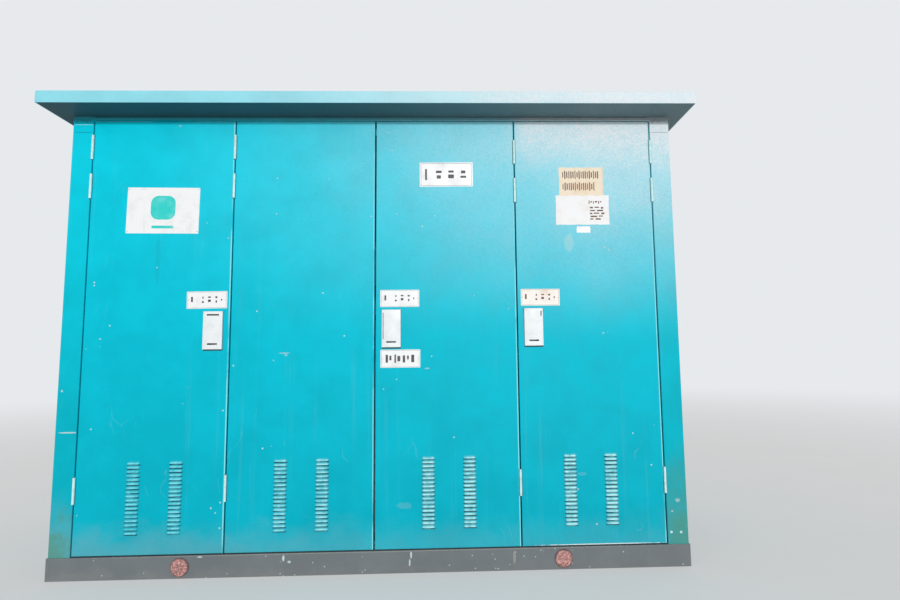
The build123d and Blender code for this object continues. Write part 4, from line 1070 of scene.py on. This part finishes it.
def plate_frame(name):
    """The middle, width, height and tilt of a plate."""
    return *middle_and_size(*PLATES[name][1:5]), math.radians(PLATES[name][5])


class CABINET_OT_stage(bpy.types.Operator):
    """Lays the floor, sets the light and places the camera"""

    bl_idname = "cabinet.stage"
    bl_label = "Studio"
    bl_options = {"REGISTER", "UNDO"}

    def execute(self, context):
        scene, studio = context.scene, context.scene.cabinet_studio
        self.lay_floor(scene, studio)
        self.set_light(scene, studio)
        self.place_camera(scene, studio)
        return {"FINISHED"}

    def seen_or_mirrored(self, tree):
        """1 for rays that show the backdrop, straight, off metal or through glass, and 0 for its light."""
        rays = add_node(tree, "ShaderNodeLightPath").outputs
        direct = Value(rays["Is Camera Ray"]).most(Value(rays["Is Transmission Ray"]))
        return direct.most(Value(rays["Is Glossy Ray"]))

    def lay_floor(self, scene, studio):
        reach = studio.floor_size
        corners = [(x * reach, y * reach, 0) for x, y in ((-1, -1), (1, -1), (1, 1), (-1, 1))]
        mesh = bpy.data.meshes.new("floor")
        mesh.from_pydata(corners, [], [(0, 1, 2, 3)])
        floor = new_object("floor", mesh)
        material, surface, position = start_material("pale_floor")
        tree = material.node_tree
        tone = scene.cabinet_colours.floor
        cloud = position.noise(1.2, 6.0, 0.6)
        feed(surface["Base Color"], cloud.spread(0.35, 0.7, 0.0, 0.5).blend(tone, tone * 0.93))
        surface["Roughness"].default_value = 0.8
        # Where it is seen or mirrored the floor is paler, and far off it runs out into the backdrop
        x, y, _ = position.split()
        shown = radius_of(x, y).spread(3.0, 16.0, 0.42, 1.0) * self.seen_or_mirrored(tree)
        glow = answer(tree, "ShaderNodeEmission", {"Color": studio.backdrop})
        bare = Value(surface["Base Color"].node.outputs[0])
        mix = answer(tree, "ShaderNodeMixShader", enumerate((shown, bare, glow)))
        output = next(node for node in tree.nodes if node.type == "OUTPUT_MATERIAL")
        feed(output.inputs["Surface"], mix)
        mesh.materials.append(material)

    def set_light(self, scene, studio):
        scene.world = bpy.data.worlds.new("studio_world")
        scene.world.use_nodes = True
        tree = scene.world.node_tree
        tree.nodes.clear()
        light = answer(tree, "ShaderNodeBackground", {"Color": studio.sky, "Strength": studio.sky_strength})
        backdrop = answer(tree, "ShaderNodeBackground", {"Color": studio.backdrop})
        parts = (self.seen_or_mirrored(tree), light, backdrop)
        mix = answer(tree, "ShaderNodeMixShader", enumerate(parts))
        add_node(tree, "ShaderNodeOutputWorld", {"Surface": mix})
        key = bpy.data.lights.new("key_light", "SUN")
        key.energy = studio.sun_strength
        key.angle = studio.sun_softness
        lamp = new_object("key_light", key)
        level = math.cos(studio.sun_height)
        side, ahead = math.sin(studio.sun_side) * level, -math.cos(studio.sun_side) * level
        towards = Vector((side, ahead, math.sin(studio.sun_height)))
        lamp.rotation_euler = towards.to_track_quat("Z", "Y").to_euler()
        lamp.location = towards * 6
        scene.view_settings.view_transform = "Standard"

    def place_camera(self, scene, studio):
        lens = bpy.data.cameras.new("camera")
        lens.sensor_width = 36.0
        lens.lens = studio.camera_lens
        lens.shift_x = studio.camera_shift
        lens.clip_end = 200.0
        camera = new_object("camera", lens)
        yaw, pitch, roll = studio.camera_yaw, studio.camera_pitch, studio.camera_roll
        ahead = Vector((math.sin(yaw) * math.cos(pitch), math.cos(yaw) * math.cos(pitch), math.sin(pitch)))
        level = Vector((math.cos(yaw), -math.sin(yaw), 0.0))
        above = level.cross(ahead)
        right = level * math.cos(roll) + above * math.sin(roll)
        upward = above * math.cos(roll) - level * math.sin(roll)
        turned = Matrix((right, upward, -ahead)).transposed()
        camera.matrix_world = Matrix.Translation(Vector(studio.camera_place)) @ turned.to_4x4()
        scene.camera = camera


class CABINET_OT_paint_shell(bpy.types.Operator):
    """Paints the base, the frame, the walls and the roof"""

    bl_idname = "cabinet.paint_shell"
    bl_label = "Shell finish"
    bl_options = {"REGISTER", "UNDO"}

    def execute(self, context):
        dress("base_front_channel", "base_rear_channel", "base_side_channels", "base_cross_channels")
        dress("corner_posts", "corner_caps", "top_rails", "mullion_posts", "frame_hinge_leaves", "hinge_pins")
        dress("side_walls", "rear_panels", "door_sills", "door_gaskets", "floor_plates", "roof_cap")
        dress("lifting_pin_sleeves", "lifting_pin_front_left", "lifting_pin_front_right")
        dress("lifting_pin_rear_left", "lifting_pin_rear_right")
        dress("roof_soffit", finish_name="soffit_paint")
        return {"FINISHED"}


class CABINET_OT_paint_doors(bpy.types.Operator):
    """Paints the doors with their hinges, stiffeners, locks and rods"""

    bl_idname = "cabinet.paint_doors"
    bl_label = "Door finish"
    bl_options = {"REGISTER", "UNDO"}

    def execute(self, context):
        for number in DOOR_MIDDLES:
            dress(*[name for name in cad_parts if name.startswith("door_%d_" % number)])
        return {"FINISHED"}


class CABINET_OT_paint_inside(bpy.types.Operator):
    """Paints what stands inside the cabinet and adds the panes of the switch units"""

    bl_idname = "cabinet.paint_inside"
    bl_label = "Inside finish"
    bl_options = {"REGISTER", "UNDO"}

    def execute(self, context):
        dress("partitions", "switch_units", "unit_fronts", "switch_knob_1", "switch_knob_2", "switch_knob_3")
        dress("low_voltage_board", "breaker", "breaker_toggle", "control_box", "earthing_bar")
        shape = bmesh.new()
        for x in UNIT_MIDDLES:
            add_slab(shape, **UNIT_PANE, middle=(x, PANE_LEVEL), back=PANE_BACK, thickness=PANE_THICKNESS)
        mesh = plain_mesh("unit_window_panes", shape)
        keep("unit_window_panes", mesh, "window_pane")
        return {"FINISHED"}


class CABINET_OT_round_edges(bpy.types.Operator):
    """Rounds the hard edges of the roof cap and the lock covers"""

    bl_idname = "cabinet.round_edges"
    bl_label = "Rounded edges"
    bl_options = {"REGISTER", "UNDO"}

    def execute(self, context):
        sizes = context.scene.cabinet_sizes
        eased_copy("roof_cap", sizes.edge_round)
        for number in LOCK_MIDDLES:
            cover = "door_%d_lock_cover" % number
            eased_copy(cover, sizes.edge_round * 0.6, body="door_%d_cover" % number)
        return {"FINISHED"}


class CABINET_OT_louvre_hoods(bpy.types.Operator):
    """Presses the louvre hoods over the slots of each door"""

    bl_idname = "cabinet.louvre_hoods"
    bl_label = "Louvre hoods"
    bl_options = {"REGISTER", "UNDO"}

    def execute(self, context):
        sizes = context.scene.cabinet_sizes
        values = {**LOUVRE, "margin": sizes.hood_margin, "skin": sizes.hood_skin, "blend": sizes.hood_blend}
        for number, columns in LOUVRE_COLUMNS.items():
            points = [(x, DOOR_FACE, LOUVRE_TOP) for x in columns]
            name, body = "louvre_hoods_door_%d" % number, "door_%d" % number
            patterned(name, points, louvre_hoods(), values, "hood_paint", body)
        return {"FINISHED"}


class CABINET_OT_plates(bpy.types.Operator):
    """Fixes the enamelled plates and their printed fields to the doors"""

    bl_idname = "cabinet.plates"
    bl_label = "Plates"
    bl_options = {"REGISTER", "UNDO"}

    def execute(self, context):
        sizes = context.scene.cabinet_sizes
        thickness = sizes.plate_thickness
        for name, plate in PLATES.items():
            middle, width, height, tilt = plate_frame(name)
            mesh = slab_mesh(name, width, height, sizes.plate_corner, middle, DOOR_FACE, thickness, tilt, 0.5)
            keep(name, mesh, plate[-1], "door_%d" % plate[0])
        for name, (fields, finish_name, corner_share) in PRINTS.items():
            middle, width, height, tilt = plate_frame(name)
            shape = bmesh.new()
            for across, up, wide, high in fields:
                wide, high = wide * width, high * height
                centre = tilted(middle, tilt, across * width, up * height)
                back = DOOR_FACE - thickness + PRINT_SINK
                corner = min(wide, high) * corner_share
                add_slab(shape, wide, high, corner, centre, back, sizes.print_thickness, tilt)
            mesh = plain_mesh("print_" + name, shape)
            keep("print_" + name, mesh, finish_name, "door_%d" % PLATES[name][0])
        return {"FINISHED"}


class CABINET_OT_notices(bpy.types.Operator):
    """Pastes the two aged notices and their tab on door 4"""

    bl_idname = "cabinet.notices"
    bl_label = "Notices"
    bl_options = {"REGISTER", "UNDO"}

    def execute(self, context):
        sizes = context.scene.cabinet_sizes
        for name, (across, upward, finish_name, thickness_share, seed) in NOTICES.items():
            front = DOOR_FACE - sizes.notice_thickness * thickness_share * SHEET_FACE
            mesh = self.sheet(name, across, upward, front, seed)
            keep(name, mesh, finish_name, "door_4", math.radians(35))
        for name, fields in NOTICE_FIELDS.items():
            across, upward, _, thickness_share, _ = NOTICES[name]
            back = DOOR_FACE - sizes.notice_thickness * thickness_share * SHEET_FACE
            middle, width, height = middle_and_size(*across, *upward)
            shape = bmesh.new()
            for along, up, wide, high in fields:
                centre = (middle[0] + along * width, middle[1] + up * height)
                add_slab(shape, wide * width, high * height, 0.003, centre, back, sizes.notice_print)
            mesh = plain_mesh(name + "_print", shape)
            keep(name + "_print", mesh, "notice_print", "door_4")
        return {"FINISHED"}

    def sheet(self, name, across, upward, front, seed):
        """A pasted sheet with slightly ragged edges, a faint ripple and one corner that lifts a little."""
        columns, rows = 24, 16
        shape = bmesh.new()
        grid = []
        for row in range(rows + 1):
            line = []
            for column in range(columns + 1):
                u, v = column / columns, row / rows
                rim = max(0, 1 - min(u, 1 - u, v, 1 - v) * 12)
                waves = math.sin(seed + 37 * u + 29 * v) * math.sin(seed * 3 + 23 * v - 17 * u)
                ragged = RAGGED_RIM * waves * rim
                lift = LIFTED_CORNER * max(0.0, (u - 0.8) * 5) ** 2 * max(0.0, (v - 0.7) / 0.3) ** 2
                ripple = RIPPLE * (1 + math.sin(seed + 19 * u + 7 * math.sin(9 * v)))
                x = across[0] + u * (across[1] - across[0]) + ragged
                z = upward[0] + v * (upward[1] - upward[0]) + ragged * 0.8
                line.append(shape.verts.new((x, front - lift - ripple, z)))
            grid.append(line)
        for lower, upper in zip(grid, grid[1:]):
            for column in range(columns):
                shape.faces.new((lower[column], lower[column + 1], upper[column + 1], upper[column]))
        rim = [edge for edge in shape.edges if edge.is_boundary]
        sides = bmesh.ops.extrude_edge_only(shape, edges=rim)
        for vert in (item for item in sides["geom"] if isinstance(item, bmesh.types.BMVert)):
            vert.co.y = DOOR_FACE + 0.0001
        mesh = bpy.data.meshes.new(name)
        shape.to_mesh(mesh)
        shape.free()
        return mesh


class CABINET_OT_lock_trim(bpy.types.Operator):
    """Adds the rubber seat behind each lock, its foot a painted shadow below the cover, and the dark marks on
    the rain covers
    """

    bl_idname = "cabinet.lock_trim"
    bl_label = "Lock trim"
    bl_options = {"REGISTER", "UNDO"}

    def execute(self, context):
        for number, middle in LOCK_MIDDLES.items():
            low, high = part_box("door_%d_lock_cover" % number)
            self.add_seat("lock_seat_door_%d" % number, middle, low, high, "door_%d" % number)
            across, up, wide, tall = LOCK_MARKS[number]
            name, corner = "lock_mark_door_%d" % number, min(wide, tall) * MARK_CORNER
            place, back = (middle + across, up), low.y + MARK_SINK
            mesh = slab_mesh(name, wide, tall, corner, place, back, MARK_THICKNESS)
            keep(name, mesh, "knob_plastic", "door_%d_cover" % number)
        return {"FINISHED"}

    def add_seat(self, name, middle, low, high, body):
        """A flat ring round the lock: a slab with its middle cut out, whose foot below the cover is a painted
        shadow.
        """
        wide, tall = high.x - low.x, high.z - low.z
        # the seat's foot runs below the cover as a painted shadow
        top, bottom = high.z + SEAT_REACH / 2, low.z - SEAT_SHADOW_FOOT
        place = (middle, (bottom + top) / 2)
        measures = (wide + 2 * SEAT_REACH, top - bottom, SEAT_CORNER, place, DOOR_FACE, SEAT_THICKNESS)
        outer = slab_mesh(name, *measures, easing=0.4)
        place = ((low.x + high.x) / 2, (low.z + high.z) / 2)
        measures = (wide - 2 * SEAT_UNDER, tall - 2 * SEAT_UNDER, SEAT_CORNER, place, DOOR_FACE + 0.01, 0.03)
        inner = slab_mesh(name, *measures)
        seat, cutter = new_object(name + "_draft", outer), new_object(name + "_cutter", inner)
        opening = seat.modifiers.new("opening", "BOOLEAN")
        opening.operation = "DIFFERENCE"
        opening.solver = "EXACT"
        opening.object = cutter
        result = settled(seat, name)
        for draft in (seat, cutter):
            remove_draft(draft)
        keep(name, result, "gasket_rubber", body)


class CABINET_OT_fasteners(bpy.types.Operator):
    """Sets the plate rivets and the screws of the frame, the walls and the inside"""

    bl_idname = "cabinet.fasteners"
    bl_label = "Screws and rivets"
    bl_options = {"REGISTER", "UNDO"}

    def execute(self, context):
        sizes = context.scene.cabinet_sizes
        self.rivet_plates(sizes)
        screw = {"radius": sizes.screw_radius, "height": sizes.screw_height, "slot_share": SLOT_WIDTH}
        points = [(x, DOOR_FACE, z) for x, z in POST_SCREWS]
        heads("post_screws", points, seed=4, slot="hinge_steel", **screw)
        low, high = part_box("rear_panels")
        step = (high.z - low.z - 2 * ROW_MARGIN) / (SCREW_ROWS - 1)
        levels = [low.z + ROW_MARGIN + row * step for row in range(SCREW_ROWS)]
        points = []
        for left, right in zip(REAR_SEAMS, REAR_SEAMS[1:]):
            points += [(x, high.y, z) for z in levels for x in (left + REAR_MARGIN, right - REAR_MARGIN)]
        heads("rear_panel_screws", points, facing="back", seed=7, **screw)
        low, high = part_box("side_walls")
        for facing, x in (("left", low.x), ("right", high.x)):
            points = [(x, y, z) for z in levels for y in (low.y + WALL_MARGIN, 0.0, high.y - WALL_MARGIN)]
            heads("side_wall_screws_" + facing, points, facing=facing, seed=9, **screw)
        low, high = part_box("unit_fronts")
        ends = (low.z + UNIT_SCREW_MARGIN, high.z - UNIT_SCREW_MARGIN)
        points = []
        for x in UNIT_MIDDLES:
            points += [(x + side * UNIT_SCREW_REACH, low.y, z) for side in (-1, 1) for z in ends]
        radius_share, height_share = UNIT_SCREW_SHARES
        screw.update(radius=sizes.screw_radius * radius_share, height=sizes.screw_height * height_share)
        heads("unit_screws", points, seed=12, **screw)
        return {"FINISHED"}

    def rivet_plates(self, sizes):
        """Two rivets on a low plate, at its middle height, and four on a high one."""
        rivets = {1: [], 3: [], 4: []}
        for name, plate in PLATES.items():
            middle, width, height, tilt = plate_frame(name)
            reach, rise = width / 2 - RIVET_MARGIN, height / 2 - RIVET_DROP
            for side in (-1, 1):
                for up in (-rise, rise) if height > HIGH_PLATE else (0.0,):
                    x, z = tilted(middle, tilt, side * reach, up)
                    rivets[plate[0]].append((x, DOOR_FACE - sizes.plate_thickness, z))
        for door, points in rivets.items():
            name, body = "plate_rivets_door_%d" % door, "door_%d" % door
            heads(name, points, sizes.rivet_radius, sizes.rivet_height, body, seed=door)


class CABINET_PT_panel(bpy.types.Panel):
    """The cabinet's steps and settings in the sidebar"""

    bl_idname = "CABINET_PT_panel"
    bl_label = "Roadside utility cabinet"
    bl_space_type = "VIEW_3D"
    bl_region_type = "UI"
    bl_category = "Cabinet"

    def draw(self, context):
        for step in STEPS:
            self.layout.operator(step.bl_idname)
        for name in SETTINGS:
            box = self.layout.box()
            group = getattr(context.scene, name)
            for key in group.bl_rna.properties.keys():
                if key not in ("rna_type", "name"):
                    box.prop(group, key)


SETTINGS = {
    "cabinet_colours": CabinetColours,
    "cabinet_sizes": CabinetSizes,
    "cabinet_wear": CabinetWear,
    "cabinet_studio": CabinetStudio,
}
STEPS = (
    CABINET_OT_stage,
    CABINET_OT_paint_shell,
    CABINET_OT_paint_doors,
    CABINET_OT_paint_inside,
    CABINET_OT_round_edges,
    CABINET_OT_louvre_hoods,
    CABINET_OT_plates,
    CABINET_OT_notices,
    CABINET_OT_lock_trim,
    CABINET_OT_fasteners,
)


def register():
    for kind in (*SETTINGS.values(), *STEPS, CABINET_PT_panel):
        bpy.utils.register_class(kind)
    for name, kind in SETTINGS.items():
        setattr(bpy.types.Scene, name, bpy.props.PointerProperty(type=kind))


def unregister():
    for name in SETTINGS:
        delattr(bpy.types.Scene, name)
    for kind in reversed((*SETTINGS.values(), *STEPS, CABINET_PT_panel)):
        bpy.utils.unregister_class(kind)


def main():
    register()
    bpy.ops.cabinet.stage()
    bpy.ops.cabinet.paint_shell()
    bpy.ops.cabinet.paint_doors()
    bpy.ops.cabinet.paint_inside()
    bpy.ops.cabinet.round_edges()
    bpy.ops.cabinet.louvre_hoods()
    bpy.ops.cabinet.plates()
    bpy.ops.cabinet.notices()
    bpy.ops.cabinet.lock_trim()
    bpy.ops.cabinet.fasteners()


if __name__ == "__main__":
    main()
